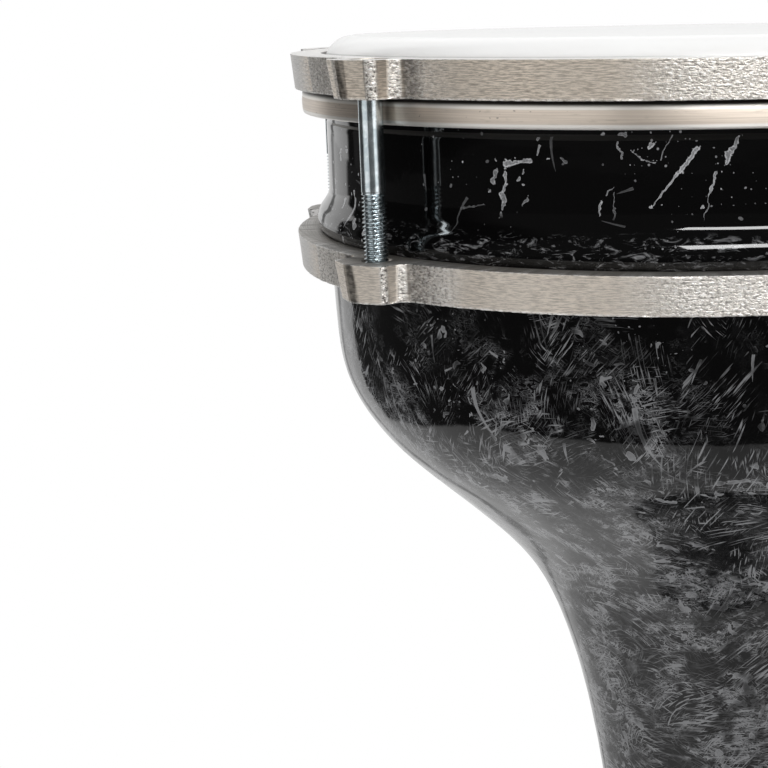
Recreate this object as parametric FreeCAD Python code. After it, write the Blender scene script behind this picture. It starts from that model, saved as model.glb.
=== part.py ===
import FreeCAD, Part
import math
import os
from FreeCAD import Vector

# Bolt-tuned goblet hand drum, millimetres, +Z up, drum head on top.
# The origin is the centre of the foot's resting plane.
# Heights named H_... and all half-section heights are measured from the tension ring's top face.
# Half sections are lists of (radius, height) points, revolved about Z.

# ---------------------------------------------------------------- shared dimensions
Z_RING = 426.0            # tension ring's top face above the floor
H_FLOOR = -Z_RING
H_COUNTER = -49.70        # top face of the counter ring

LUG_COUNT = 6
LUG_PITCH = 360.0 / LUG_COUNT   # degrees
BOLT_CIRCLE_R = 122.33

SEAT_R = 111.80           # turned seat that the film passes over
H_EDGE = 4.40             # crest of the bearing edge
EDGE_R = 7.50             # outer rounding of the bearing edge
EDGE_CENTRE = (SEAT_R - EDGE_R, H_EDGE - EDGE_R)

BOLT_AXES = [
    Vector(BOLT_CIRCLE_R * math.cos(angle), BOLT_CIRCLE_R * math.sin(angle), 0)
    for angle in (math.radians(LUG_PITCH * k) for k in range(LUG_COUNT))
]


# ---------------------------------------------------------------- half-section helpers
def section_point(point):
    radius, height = point
    return Vector(radius, 0, height + Z_RING)


def on_circle(centre, radius, degrees):
    """The (radius, height) point on a circle, angle measured from the outward direction."""
    angle = math.radians(degrees)
    return (centre[0] + radius * math.cos(angle), centre[1] + radius * math.sin(angle))


def facets(centre, radius, start, end, count):
    """Points that cut an arc into count straight facets, angles in degrees."""
    return [on_circle(centre, radius, start + (end - start) * i / count)
            for i in range(count + 1)]


def path(*points):
    """Straight edges through the points, in order."""
    return [Part.makeLine(section_point(a), section_point(b))
            for a, b in zip(points, points[1:])]


def arc(start, middle, end):
    return Part.Arc(*[section_point(point) for point in (start, middle, end)]).toShape()


def corner(centre, radius, start, end):
    """An arc about centre, angles in degrees."""
    return arc(*facets(centre, radius, start, end, 2))


def curve(points, start_tangent=None, end_tangent=None):
    """A spline through the points; tangents are (radial, vertical)."""
    spline = Part.BSplineCurve()
    places = [section_point(point) for point in points]
    if start_tangent:
        spline.interpolate(
            Points=places,
            InitialTangent=Vector(start_tangent[0], 0, start_tangent[1]),
            FinalTangent=Vector(end_tangent[0], 0, end_tangent[1]),
        )
    else:
        spline.interpolate(Points=places)
    return spline.toShape()


def offset(points, distance):
    """Points moved to the left of the direction of travel by distance."""
    moved = []
    for i, (radius, height) in enumerate(points):
        before = points[max(i - 1, 0)]
        after = points[min(i + 1, len(points) - 1)]
        run, rise = after[0] - before[0], after[1] - before[1]
        length = math.hypot(run, rise)
        moved.append((radius - distance * rise / length, height + distance * run / length))
    return moved


def revolve(wire):
    return Part.Face(wire).revolve(Vector(0, 0, 0), Vector(0, 0, 1), 360).Solids[0]


def spin(edges):
    """Revolve a closed half section about the drum's axis."""
    return revolve(Part.Wire(Part.__sortEdges__(edges)))


def save(shape, name):
    shape.Solids[0].exportStep("parts/%s.step" % name)


# ---------------------------------------------------------------- goblet shell
COLLAR_R = 112.30
COLLAR_WALL = 4.6
BEAD_R = 115.80
SHELL_WALL = 4.0
FOOT_R = 89.2
EDGE_INNER_R = 101.5      # bore of the lip behind the bearing edge
EDGE_INNER_ROUND = 1.2
H_SEAT_END = -18.6        # the seat steps out to the collar between these two
H_COLLAR_TOP = -19.4
H_BEAD_TOP = -38.6
H_COLLAR_BORE_END = -58.0
H_LIP_BOTTOM = -11.0      # the lip slopes inwards between these two
H_LIP_BORE = -3.6

# Bead above the counter ring: (radius, height).
BEAD = [
    (COLLAR_R, H_BEAD_TOP), (COLLAR_R + 0.35, -40.6), (COLLAR_R + 1.55, -42.6),
    (COLLAR_R + 2.85, -44.5), (BEAD_R, -46.9), (BEAD_R - 0.35, -48.7),
    (BEAD_R - 1.1, H_COUNTER),
]

# Outer surface of the bowl, neck and foot: (radius, height).
OUTER_PROFILE = [
    (COLLAR_R, -62), (112.051, -68), (111.764, -74), (111.380, -80), (110.684, -86),
    (109.209, -92), (106.642, -98), (103.000, -104), (98.314, -110), (92.501, -116),
    (86.029, -122), (79.520, -128), (73.223, -134), (67.302, -140), (62.102, -146),
    (57.819, -152), (54.394, -158), (51.644, -164), (49.347, -170), (47.345, -176),
    (45.569, -182), (43.993, -188), (42.595, -194), (41.350, -200), (39.228, -212),
    (37.523, -224), (36.241, -236), (35.412, -248), (35.029, -260), (35.055, -272),
    (35.474, -284), (36.305, -296), (37.598, -308), (39.401, -320), (41.752, -332),
    (44.719, -344), (48.492, -356), (53.384, -368), (59.632, -380), (67.205, -392),
    (75.543, -404), (82.214, -414),
]

# Start, middle and end of the arcs on the outside and inside of the foot's rim.
FOOT_OUTER_ARC = [
    (FOOT_R - 1.2, H_FLOOR + 4.2), (FOOT_R, H_FLOOR + 1.9), (FOOT_R - 1.6, H_FLOOR),
]
FOOT_INNER_ARC = [
    (FOOT_R - 7.4, H_FLOOR), (FOOT_R - 9.0, H_FLOOR + 0.9), (FOOT_R - 9.6, H_FLOOR + 2.6),
]


def make_goblet_shell():
    inner_profile = offset(OUTER_PROFILE, -SHELL_WALL)
    collar_bore_r = COLLAR_R - COLLAR_WALL
    round_centre = (EDGE_INNER_R + EDGE_INNER_ROUND, H_EDGE - EDGE_INNER_ROUND)
    return spin([
        # crest and outer rounding of the bearing edge
        *path((round_centre[0], H_EDGE), (EDGE_CENTRE[0], H_EDGE)),
        corner(EDGE_CENTRE, EDGE_R, 90, 0),
        # seat, step and collar
        *path((SEAT_R, EDGE_CENTRE[1]), (SEAT_R, H_SEAT_END),
              (COLLAR_R, H_COLLAR_TOP), (COLLAR_R, H_BEAD_TOP)),
        curve(BEAD, (0, -1), (-0.9, -0.7)),
        *path(BEAD[-1], (COLLAR_R, H_COUNTER), OUTER_PROFILE[0]),
        curve(OUTER_PROFILE, (-0.02, -1), (6.5, -10)),
        # thickened rim of the foot
        *path(OUTER_PROFILE[-1], FOOT_OUTER_ARC[0]),
        arc(*FOOT_OUTER_ARC),
        *path(FOOT_OUTER_ARC[-1], FOOT_INNER_ARC[0]),
        arc(*FOOT_INNER_ARC),
        *path(FOOT_INNER_ARC[-1], inner_profile[-1]),
        # inside of the foot, neck and bowl
        curve(inner_profile[::-1]),
        # collar bore and the thickened lip behind the bearing edge
        *path(inner_profile[0], (collar_bore_r, H_COLLAR_BORE_END),
              (collar_bore_r, H_LIP_BOTTOM), (EDGE_INNER_R, H_LIP_BORE),
              (EDGE_INNER_R, round_centre[1])),
        corner(round_centre, EDGE_INNER_ROUND, 180, 90),
    ])


# ---------------------------------------------------------------- cast rings with ears
RING_R = 121.4            # outer radius of both rings at their top faces
RING_T = 9.72
RING_DRAFT = 0.90         # how much smaller the rings are at their undersides
TENSION_BORE_R = 113.0
TENSION_BORE_CHAMFER = 0.4
COUNTER_BORE_R = 112.72

EAR_NOSE = 8.6            # ear's nose, beyond the bolt axis
EAR_NOSE_HALF = 1.8       # half-width of the flat on the nose
EAR_SHOULDER = 6.1        # where the slanted faces end, beyond the bolt axis
EAR_HALF = 9.7            # half-width of the ear
EAR_CORNER_R = 2.4
EAR_NOSE_R = 1.6
EAR_FILLET_R = 3.4        # concave blend between the ear and the ring
EAR_DRAFT = 1.15          # how much the ear draws in at its underside
NOSE_DRAFT_RATIO = 0.25   # share of the ear's draft taken off the nose flat's half-width
FILLET_DRAFT_RATIO = 0.3  # share of the ear's draft added to the blend

H_HEAD_SEAT = -7.0        # underside of the bolt head, on the counterbore's floor
COUNTERBORE_D = 11.0
COUNTERBORE_TOOL = 20.0   # cutter's height
CLEARANCE_HOLE_D = 6.4
TAPPED_HOLE_D = 6.10      # plain stand-in for the thread in the counter ring
TAPPED_CHAMFER = 0.6
THROUGH_TOOL = 40.0       # height of a through-hole cutter, centred on the ring's top face
BORE_MARGIN = 1.0         # bore cutter's overshoot at each face


def unit(vector):
    return vector * (1.0 / vector.Length)


def arc_through(start, middle, end):
    return Part.Arc(start, middle, end).toShape()


def round_corner(before, tip, after, radius):
    """Start, middle and end of the arc that rounds the corner at tip."""
    back, onward = unit(before - tip), unit(after - tip)
    half_angle = math.acos(max(-1.0, min(1.0, back.dot(onward)))) / 2.0
    setback = radius / math.tan(half_angle)
    middle = tip + unit(back + onward) * (radius / math.sin(half_angle) - radius)
    return tip + back * setback, middle, tip + onward * setback


def ear_outline(degrees, z, ring_r, shrink):
    """Edges of one ear, anticlockwise, and its two tangent points on the ring."""
    angle = math.radians(degrees)
    outward = Vector(math.cos(angle), math.sin(angle), 0)
    sideways = Vector(-math.sin(angle), math.cos(angle), 0)

    def at(radial, tangential):
        return outward * radial + sideways * tangential + Vector(0, 0, z)

    nose = BOLT_CIRCLE_R + EAR_NOSE - shrink
    shoulder = BOLT_CIRCLE_R + EAR_SHOULDER - shrink
    half = EAR_HALF - shrink
    nose_half = EAR_NOSE_HALF - NOSE_DRAFT_RATIO * shrink
    fillet = EAR_FILLET_R + FILLET_DRAFT_RATIO * shrink

    # The blend's circle touches the ring from outside and the ear's side.
    centre_side = half + fillet
    centre_out = math.sqrt((ring_r + fillet) ** 2 - centre_side ** 2)
    spread = math.atan2(centre_side, centre_out)

    def blend(side):
        centre = at(centre_out, side * centre_side)
        on_ring = at(ring_r * math.cos(spread), side * ring_r * math.sin(spread))
        on_ear = at(centre_out, side * half)
        middle = centre + unit((on_ring - centre) + (on_ear - centre)) * fillet
        return on_ring, middle, on_ear

    first, last = blend(-1), blend(1)
    points = [
        first[2],
        at(shoulder, -half), at(nose, -nose_half), at(nose, nose_half), at(shoulder, half),
        last[2],
    ]
    radii = [EAR_CORNER_R, EAR_NOSE_R, EAR_NOSE_R, EAR_CORNER_R]
    edges = [arc_through(*first)]
    here = points[0]
    for before, tip, after, radius in zip(points, points[1:], points[2:], radii):
        start, middle, end = round_corner(before, tip, after, radius)
        edges.append(Part.makeLine(here, start))
        edges.append(arc_through(start, middle, end))
        here = end
    edges.append(Part.makeLine(here, last[2]))
    edges.append(arc_through(last[2], last[1], last[0]))
    return edges, first[0], last[0]


def ring_outline(z, ring_r, shrink):
    """Closed outline of a ring with its ears, at height z above the floor."""
    ears = [ear_outline(LUG_PITCH * k, z, ring_r, shrink) for k in range(LUG_COUNT)]
    edges = []
    for k, (ear_edges, _, ear_end) in enumerate(ears):
        next_start = ears[(k + 1) % LUG_COUNT][1]
        angle = math.radians(LUG_PITCH * (k + 0.5))
        middle = Vector(ring_r * math.cos(angle), ring_r * math.sin(angle), z)
        edges += ear_edges
        edges.append(arc_through(ear_end, middle, next_start))
    return Part.Wire(edges)


def cast_ring(top, bore_r):
    """A drafted ring with ears, bored through; top is its top face above the floor."""
    bottom = top - RING_T
    outlines = [
        ring_outline(bottom, RING_R - RING_DRAFT, EAR_DRAFT),
        ring_outline(top, RING_R, 0.0),
    ]
    body = Part.makeLoft(outlines, True, True)
    start = Vector(0, 0, bottom - BORE_MARGIN)
    return body.cut(Part.makeCylinder(bore_r, RING_T + 2 * BORE_MARGIN, start))


def chamfer_bore(ring, z, size, bore_r):
    """Chamfer the bore's rim at height z."""
    rims = [
        edge for edge in ring.Edges
        if abs(edge.BoundBox.ZMin - z) < 1e-4 and abs(edge.BoundBox.ZMax - z) < 1e-4
        and isinstance(edge.Curve, Part.Circle) and abs(edge.Curve.Radius - bore_r) < 1e-4
    ]
    # makeChamfer fails on an empty list
    return ring.makeChamfer(size, rims) if rims else ring


def bore_at_bolts(ring, diameter, z, height):
    """Cut an upright cylinder starting at height z on every bolt axis."""
    for axis in BOLT_AXES:
        ring = ring.cut(Part.makeCylinder(diameter / 2, height, axis + Vector(0, 0, z)))
    return ring


def make_tension_ring():
    ring = cast_ring(Z_RING, TENSION_BORE_R)
    ring = chamfer_bore(ring, Z_RING, TENSION_BORE_CHAMFER, TENSION_BORE_R)
    ring = bore_at_bolts(ring, CLEARANCE_HOLE_D, Z_RING - THROUGH_TOOL / 2, THROUGH_TOOL)
    return bore_at_bolts(ring, COUNTERBORE_D, Z_RING + H_HEAD_SEAT, COUNTERBORE_TOOL)


def make_counter_ring():
    top = Z_RING + H_COUNTER
    ring = cast_ring(top, COUNTER_BORE_R)
    ring = bore_at_bolts(ring, TAPPED_HOLE_D, top - THROUGH_TOOL / 2, THROUGH_TOOL)
    hole_r = TAPPED_HOLE_D / 2
    for axis in BOLT_AXES:
        start = axis + Vector(0, 0, top - TAPPED_CHAMFER)
        ring = ring.cut(Part.makeCone(hole_r, hole_r + TAPPED_CHAMFER, TAPPED_CHAMFER, start))
    return ring


# ---------------------------------------------------------------- flesh hoop
HOOP_R = 118.65           # outer radius
HOOP_BORE_R = 112.60
HOOP_WALL = 0.85
HOOP_CROWN = 0.12         # bulge of the outer wall
H_HOOP_TOP = -9.74
H_HOOP_BOTTOM = -16.15
HOOP_EDGE_R = 0.9         # rolled edges at the outer top and inner bottom
HOOP_OUTER_BOTTOM_R = 1.4
HOOP_CHANNEL_R = 0.5      # outer bottom corner of the channel
HOOP_INNER_DROP = 1.65    # centre of the inner wall's rounded top, below the hoop's top
HOOP_LIP_W = 1.6          # inturned lip on top of the outer wall


def make_flesh_hoop():
    middle = (H_HOOP_TOP + H_HOOP_BOTTOM) / 2
    floor = H_HOOP_BOTTOM + HOOP_WALL
    channel_r = HOOP_R - HOOP_WALL
    crown_r = HOOP_R + HOOP_CROWN
    points = [
        # outer wall, slightly crowned, rolled over at the top and bottom
        *facets((HOOP_R - HOOP_EDGE_R, H_HOOP_TOP - HOOP_EDGE_R), HOOP_EDGE_R, 90, 0, 4),
        (crown_r, middle + 0.8),
        (crown_r, middle - 0.6),
        *facets((HOOP_R - HOOP_OUTER_BOTTOM_R, H_HOOP_BOTTOM + HOOP_OUTER_BOTTOM_R),
                HOOP_OUTER_BOTTOM_R, 0, -90, 4),
        # inner wall with a rounded top
        *facets((HOOP_BORE_R + HOOP_EDGE_R, H_HOOP_BOTTOM + HOOP_EDGE_R),
                HOOP_EDGE_R, -90, -180, 4),
        *facets((HOOP_BORE_R + HOOP_WALL / 2, H_HOOP_TOP - HOOP_INNER_DROP),
                HOOP_WALL / 2, 180, 0, 6),
        # channel and lip
        (HOOP_BORE_R + HOOP_WALL, floor),
        *facets((channel_r - HOOP_CHANNEL_R, floor + HOOP_CHANNEL_R),
                HOOP_CHANNEL_R, -90, 0, 3),
        (channel_r, H_HOOP_TOP - 0.85),
        (HOOP_R - HOOP_LIP_W, H_HOOP_TOP - 0.55),
        (HOOP_R - HOOP_LIP_W, H_HOOP_TOP),
    ]
    return spin(path(*points, points[0]))


# ---------------------------------------------------------------- film head and hoop resin
FILM_T = 0.25
FILM_GAP = 0.02           # film to shell
FILM_IN_R = SEAT_R + FILM_GAP
FILM_MID_R = FILM_IN_R + FILM_T / 2
H_TAIL_TOP = -8.6
RESIN_GAP = 0.02          # resin to hoop and film
RESIN_CHAMFER = 0.6
H_RESIN_TOP = -11.75

# Mid-line of the film's edge, from the seat over the hoop's inner wall and down into
# the channel: (radius, height).
FILM_TAIL = [
    (FILM_MID_R, H_TAIL_TOP), (FILM_MID_R + 0.03, -9.3), (FILM_MID_R + 0.28, -9.95),
    (112.75, -10.45), (113.35, -10.78), (113.85, -11.35), (114.02, -12.1),
    (114.05, -13.2), (114.35, -14.15), (115.3, -14.5), (116.6, -14.55),
]


def tail_edges(outer_side, inner_side):
    """Down one side of the film's tail, across its end and back up the other."""
    return [
        curve(inner_side, (0, -1), (1, 0)),
        *path(inner_side[-1], outer_side[-1]),
        curve(outer_side[::-1], (-1, 0), (0, 1)),
    ]


def make_drum_head():
    outer_r = FILM_IN_R + FILM_T
    under = H_EDGE + FILM_GAP
    upper = under + FILM_T
    edge_r, edge_height = EDGE_CENTRE
    outer_side = offset(FILM_TAIL, FILM_T / 2)
    inner_side = offset(FILM_TAIL, -FILM_T / 2)
    # the tail's first points meet the straight part on the seat
    outer_side[0] = (outer_r, H_TAIL_TOP)
    inner_side[0] = (FILM_IN_R, H_TAIL_TOP)
    return spin([
        *path((0, under), (edge_r, under)),
        corner(EDGE_CENTRE, EDGE_R + FILM_GAP, 90, 0),
        *path((FILM_IN_R, edge_height), inner_side[0]),
        *tail_edges(outer_side, inner_side),
        *path(outer_side[0], (outer_r, edge_height)),
        corner(EDGE_CENTRE, EDGE_R + FILM_GAP + FILM_T, 0, 90),
        *path((edge_r, upper), (0, upper), (0, under)),
    ])


def make_hoop_resin():
    inner_r = HOOP_BORE_R + HOOP_WALL + RESIN_GAP
    outer_r = HOOP_R - HOOP_WALL - RESIN_GAP
    low = H_HOOP_BOTTOM + HOOP_WALL + RESIN_GAP
    fill = spin(path(
        (inner_r, low), (outer_r - RESIN_CHAMFER, low), (outer_r, low + RESIN_CHAMFER),
        (outer_r, H_RESIN_TOP), (inner_r, H_RESIN_TOP), (inner_r, low),
    ))
    # slot for the film's tail, with clearance on its sides and end
    outer_side = offset(FILM_TAIL, FILM_T / 2 + RESIN_GAP)
    inner_side = offset(FILM_TAIL, -FILM_T / 2 - RESIN_GAP)
    for side in (outer_side, inner_side):
        side[-1] = (side[-1][0] + RESIN_GAP, side[-1][1])
    slot = spin(tail_edges(outer_side, inner_side) + path(outer_side[0], inner_side[0]))
    return max(fill.cut(slot).Solids, key=lambda solid: solid.Volume)


# ---------------------------------------------------------------- bolts
# M6 socket head cap screw; its own frame has the underside of the head at z = 0.
BOLT_R = 5.95 / 2
BOLT_LENGTH = 50.0        # under the head
BOLT_THREAD = 24.0
THREAD_PITCH = 1.0
THREAD_ROOT_R = 2.42
THREAD_END_GAP = 0.55     # helix kept back from each end of the thread
RIDGE_SINK = 0.12         # how far the ridge sinks into the core
RIDGE_FOOT_HALF = 0.43
RIDGE_CREST_HALF = 0.07
HEAD_R = 10.0 / 2
HEAD_H = 6.0
HEAD_CHAMFER = 0.6
HEAD_LOW_CHAMFER = 0.2
NECK_FLARE = 0.12         # widening of the shank under the head
NECK_FLARE_H = 0.3
RUNOUT_HALF = 0.25        # half-height of the taper from shank to thread core
TIP_CHAMFER = 0.7
SOCKET_AF = 5.0
SOCKET_CORNER_R = SOCKET_AF / math.sqrt(3)
SOCKET_DEPTH = 3.0
SOCKET_CONE_H = 1.2
SOCKET_LEAD = 0.4


def bolt_blank():
    """The bolt without its thread."""
    thread_top = -BOLT_LENGTH + BOLT_THREAD
    outline = [
        (0, HEAD_H), (HEAD_R - HEAD_CHAMFER, HEAD_H), (HEAD_R, HEAD_H - HEAD_CHAMFER),
        (HEAD_R, HEAD_LOW_CHAMFER), (HEAD_R - HEAD_LOW_CHAMFER, 0),
        (BOLT_R + NECK_FLARE, 0), (BOLT_R, -NECK_FLARE_H),
        (BOLT_R, thread_top + RUNOUT_HALF), (THREAD_ROOT_R, thread_top - RUNOUT_HALF),
        (THREAD_ROOT_R, -BOLT_LENGTH + TIP_CHAMFER),
        (THREAD_ROOT_R - TIP_CHAMFER, -BOLT_LENGTH), (0, -BOLT_LENGTH), (0, HEAD_H),
    ]
    blank = revolve(Part.makePolygon([Vector(radius, 0, z) for radius, z in outline]))

    socket_floor = HEAD_H - SOCKET_DEPTH
    hexagon = [
        Vector(SOCKET_CORNER_R * math.cos(angle), SOCKET_CORNER_R * math.sin(angle), socket_floor)
        for angle in (math.radians(60 * i) for i in range(7))
    ]
    socket = Part.Face(Part.makePolygon(hexagon)).extrude(Vector(0, 0, SOCKET_DEPTH + 1))
    cone = Part.makeCone(
        0, SOCKET_AF / 2, SOCKET_CONE_H, Vector(0, 0, socket_floor - SOCKET_CONE_H))
    blank = blank.cut(socket.fuse(cone))
    lead = Part.makeCone(
        SOCKET_CORNER_R, SOCKET_CORNER_R + SOCKET_LEAD, SOCKET_LEAD,
        Vector(0, 0, HEAD_H - SOCKET_LEAD))
    return blank.cut(lead)


def thread_ridge():
    """Right-handed helical ridge, swept from a truncated triangle."""
    low = -BOLT_LENGTH + THREAD_END_GAP
    helix = Part.makeHelix(THREAD_PITCH, BOLT_THREAD - 2 * THREAD_END_GAP, THREAD_ROOT_R)
    helix.translate(Vector(0, 0, low))
    foot_r = THREAD_ROOT_R - RIDGE_SINK
    profile = Part.makePolygon([
        Vector(foot_r, 0, low - RIDGE_FOOT_HALF),
        Vector(BOLT_R, 0, low - RIDGE_CREST_HALF),
        Vector(BOLT_R, 0, low + RIDGE_CREST_HALF),
        Vector(foot_r, 0, low + RIDGE_FOOT_HALF),
        Vector(foot_r, 0, low - RIDGE_FOOT_HALF),
    ])
    return Part.Wire(helix.Edges).makePipeShell([Part.Wire(profile.Edges)], True, True)


def make_bolt():
    bolt = bolt_blank().fuse(thread_ridge())
    # nothing may reach below the tip
    trim_h = 3
    trim = Part.makeCylinder(6, trim_h, Vector(0, 0, -BOLT_LENGTH - trim_h))
    return bolt.cut(trim).Solids[0]


# ---------------------------------------------------------------- build
os.makedirs("parts", exist_ok=True)
save(make_goblet_shell(), "goblet_shell")
save(make_tension_ring(), "tension_ring")
save(make_counter_ring(), "counter_ring")
save(make_flesh_hoop(), "flesh_hoop")
save(make_drum_head(), "drum_head")
save(make_hoop_resin(), "hoop_resin")

bolt = make_bolt()
for number, axis in enumerate(BOLT_AXES, 1):
    placed = bolt.copy()
    placed.translate(axis + Vector(0, 0, Z_RING + H_HEAD_SEAT))
    save(placed, "tension_bolt_%d" % number)
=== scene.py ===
import math

import bmesh
import bpy
import numpy as np
from mathutils import Matrix, Vector


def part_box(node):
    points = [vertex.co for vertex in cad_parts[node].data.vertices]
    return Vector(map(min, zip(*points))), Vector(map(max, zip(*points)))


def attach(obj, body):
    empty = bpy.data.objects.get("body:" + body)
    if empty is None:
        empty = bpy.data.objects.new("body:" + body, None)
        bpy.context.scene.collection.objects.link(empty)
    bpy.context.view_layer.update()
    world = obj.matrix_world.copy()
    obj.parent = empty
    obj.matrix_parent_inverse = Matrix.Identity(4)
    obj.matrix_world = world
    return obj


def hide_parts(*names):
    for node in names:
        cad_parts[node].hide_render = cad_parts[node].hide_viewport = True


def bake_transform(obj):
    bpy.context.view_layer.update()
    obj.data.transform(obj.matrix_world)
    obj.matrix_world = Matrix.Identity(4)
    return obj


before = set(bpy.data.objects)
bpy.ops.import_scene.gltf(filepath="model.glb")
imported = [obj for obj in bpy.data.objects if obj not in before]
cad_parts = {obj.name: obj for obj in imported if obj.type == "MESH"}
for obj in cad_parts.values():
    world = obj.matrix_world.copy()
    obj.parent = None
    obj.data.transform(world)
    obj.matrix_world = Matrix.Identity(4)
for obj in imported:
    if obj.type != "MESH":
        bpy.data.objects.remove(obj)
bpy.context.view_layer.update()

# Everything below is in millimetres until a mesh is made; heights "h" count from the tension ring's top face.
TOP = 426.0
LUGS = 6
BOLT_R = 122.33
TURN = math.radians(13.2)          # the viewer's direction, from the -Y side towards +X
cs, sn = math.cos(TURN), math.sin(TURN)

ring_lo, ring_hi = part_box("tension_ring")
assert abs(ring_hi.z * 1000.0 - TOP) < 0.05, "the frame's tension ring isn't where these pieces expect it"


# ------------------------------------------------------------------------------------------------ small tools
def grid_noise(seed, nx, ny, wrap_x=True):
    """Returns f(u, v): smooth value noise, u in 0..1 across nx cells (wrapping), v in 0..1 across ny cells, values about -1..1."""
    rng = np.random.RandomState(seed)
    g = rng.rand(nx + 1, ny + 2) * 2.0 - 1.0
    if wrap_x:
        g[-1] = g[0]

    def f(u, v):
        u = np.asarray(u, float) % 1.0 * nx
        v = np.clip(np.asarray(v, float), 0, 1) * ny
        i, j = np.floor(u).astype(int) % nx, np.minimum(np.floor(v).astype(int), ny)
        a, b = u - np.floor(u), v - np.floor(v)
        a, b = a * a * (3 - 2 * a), b * b * (3 - 2 * b)
        j2 = np.minimum(j + 1, ny + 1)
        return (g[i, j] * (1 - a) * (1 - b) + g[i + 1, j] * a * (1 - b) + g[i, j2] * (1 - a) * b + g[i + 1, j2] * a * b)
    return f


def sstep(x, lo, hi):
    t = np.clip((np.asarray(x, float) - lo) / (hi - lo), 0, 1)
    return t * t * (3 - 2 * t)


def make_object(name, verts_mm, faces, sharp_deg=40.0, smooth=True, attrs=None):
    """A mesh object from millimetre vertices; faces is a list of index arrays (n, 3) or (n, 4)."""
    me = bpy.data.meshes.new(name)
    v = np.asarray(verts_mm, float) * 0.001
    loops, starts, total = [], [], 0
    for f in faces:
        f = np.asarray(f, int)
        if len(f) == 0:
            continue
        loops.append(f.ravel())
        starts.append(total + np.arange(len(f)) * f.shape[1])
        total += f.size
    loops = np.concatenate(loops).astype(np.int32)
    starts = np.concatenate(starts).astype(np.int32)
    me.vertices.add(len(v))
    me.vertices.foreach_set("co", v.astype(np.float32).ravel())
    me.loops.add(len(loops))
    me.loops.foreach_set("vertex_index", loops)
    me.polygons.add(len(starts))
    me.polygons.foreach_set("loop_start", starts)
    me.update(calc_edges=True)
    me.validate()
    me.polygons.foreach_set("use_smooth", np.full(len(me.polygons), smooth))
    for key, val in (attrs or {}).items():
        at = me.attributes.new(key, "FLOAT", "POINT")
        at.data.foreach_set("value", np.asarray(val, np.float32))
    me.update()
    if smooth and sharp_deg is not None:
        me.set_sharp_from_angle(angle=math.radians(sharp_deg))
    ob = bpy.data.objects.new(name, me)
    bpy.context.scene.collection.objects.link(ob)
    return ob


def grid_faces(rows, cols, wrap_rows=False, wrap_cols=True, flip=False):
    i = np.arange(rows if wrap_rows else rows - 1)
    j = np.arange(cols if wrap_cols else cols - 1)
    I, J = np.meshgrid(i, j, indexing="ij")
    I2, J2 = (I + 1) % rows, (J + 1) % cols
    q = np.stack([I * cols + J, I * cols + J2, I2 * cols + J2, I2 * cols + J], -1).reshape(-1, 4)
    return q[:, ::-1] if flip else q


def arc_pts(cr, ch, rad, a0, a1, n):
    t = np.radians(np.linspace(a0, a1, n))
    return [(cr + rad * math.cos(x), ch + rad * math.sin(x)) for x in t]


def resample(points, step):
    """Points (r, h) along a polyline so that no segment is longer than step; corners are kept."""
    out = [points[0]]
    for a, b in zip(points[:-1], points[1:]):
        d = math.hypot(b[0] - a[0], b[1] - a[1])
        n = max(1, int(math.ceil(d / step)))
        for k in range(1, n + 1):
            out.append((a[0] + (b[0] - a[0]) * k / n, a[1] + (b[1] - a[1]) * k / n))
    return out


def catmull(points, per=4):
    """A smooth curve through the points."""
    p = np.array(points, float)
    out = []
    for i in range(len(p) - 1):
        p0, p1, p2, p3 = p[max(i - 1, 0)], p[i], p[i + 1], p[min(i + 2, len(p) - 1)]
        for k in range(per):
            t = k / per
            out.append(tuple(0.5 * ((2 * p1) + (-p0 + p2) * t + (2 * p0 - 5 * p1 + 4 * p2 - p3) * t * t + (-p0 + 3 * p1 - 3 * p2 + p3) * t ** 3)))
    out.append(tuple(p[-1]))
    return out


def lathe(name, profile, segs, closed=True, bump=None, sharp_deg=40.0, axis_start=False, attrs=None):
    """Turns a profile [(r, h)] about the axis. closed joins the last row to the first. bump(theta, row) moves along the outward radius."""
    pr = np.array(profile, float)
    th = np.arange(segs) * 2 * math.pi / segs
    R = np.repeat(pr[:, :1], segs, 1)
    H = np.repeat(pr[:, 1:], segs, 1)
    if bump is not None:
        dr, dh = bump(np.repeat(th[None, :], len(pr), 0), R, H)
        R, H = R + dr, H + dh
    x, y = R * np.cos(th), R * np.sin(th)
    verts = np.stack([x, y, H + TOP], -1).reshape(-1, 3)
    faces = grid_faces(len(pr), segs, wrap_rows=closed)
    extra = []
    if not closed:
        caps = []
        for row, flip in ((0, False), (len(pr) - 1, True)):
            c = len(verts) + len(caps)
            caps.append((0.0, 0.0, H[row].mean() + TOP))
            j = np.arange(segs)
            a, b = row * segs + j, row * segs + (j + 1) % segs
            tri = np.stack([np.full(segs, c), b, a], -1)
            extra.append(tri[:, ::-1] if flip else tri)
        verts = np.vstack([verts, caps])
    at = {}
    for key, fn in (attrs or {}).items():
        val = fn(np.repeat(th[None, :], len(pr), 0), R, H).ravel()
        at[key] = val if closed else np.concatenate([val, np.zeros(2)])
    ob = make_object(name, verts, [faces] + extra, sharp_deg=sharp_deg, attrs=at)
    fix_normals(ob)
    return ob


def fix_normals(ob):
    bm = bmesh.new()
    bm.from_mesh(ob.data)
    bmesh.ops.recalc_face_normals(bm, faces=bm.faces)
    if bm.calc_volume(signed=True) < 0:
        bmesh.ops.reverse_faces(bm, faces=bm.faces)
    bm.to_mesh(ob.data)
    bm.free()
    ob.data.update()


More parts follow.
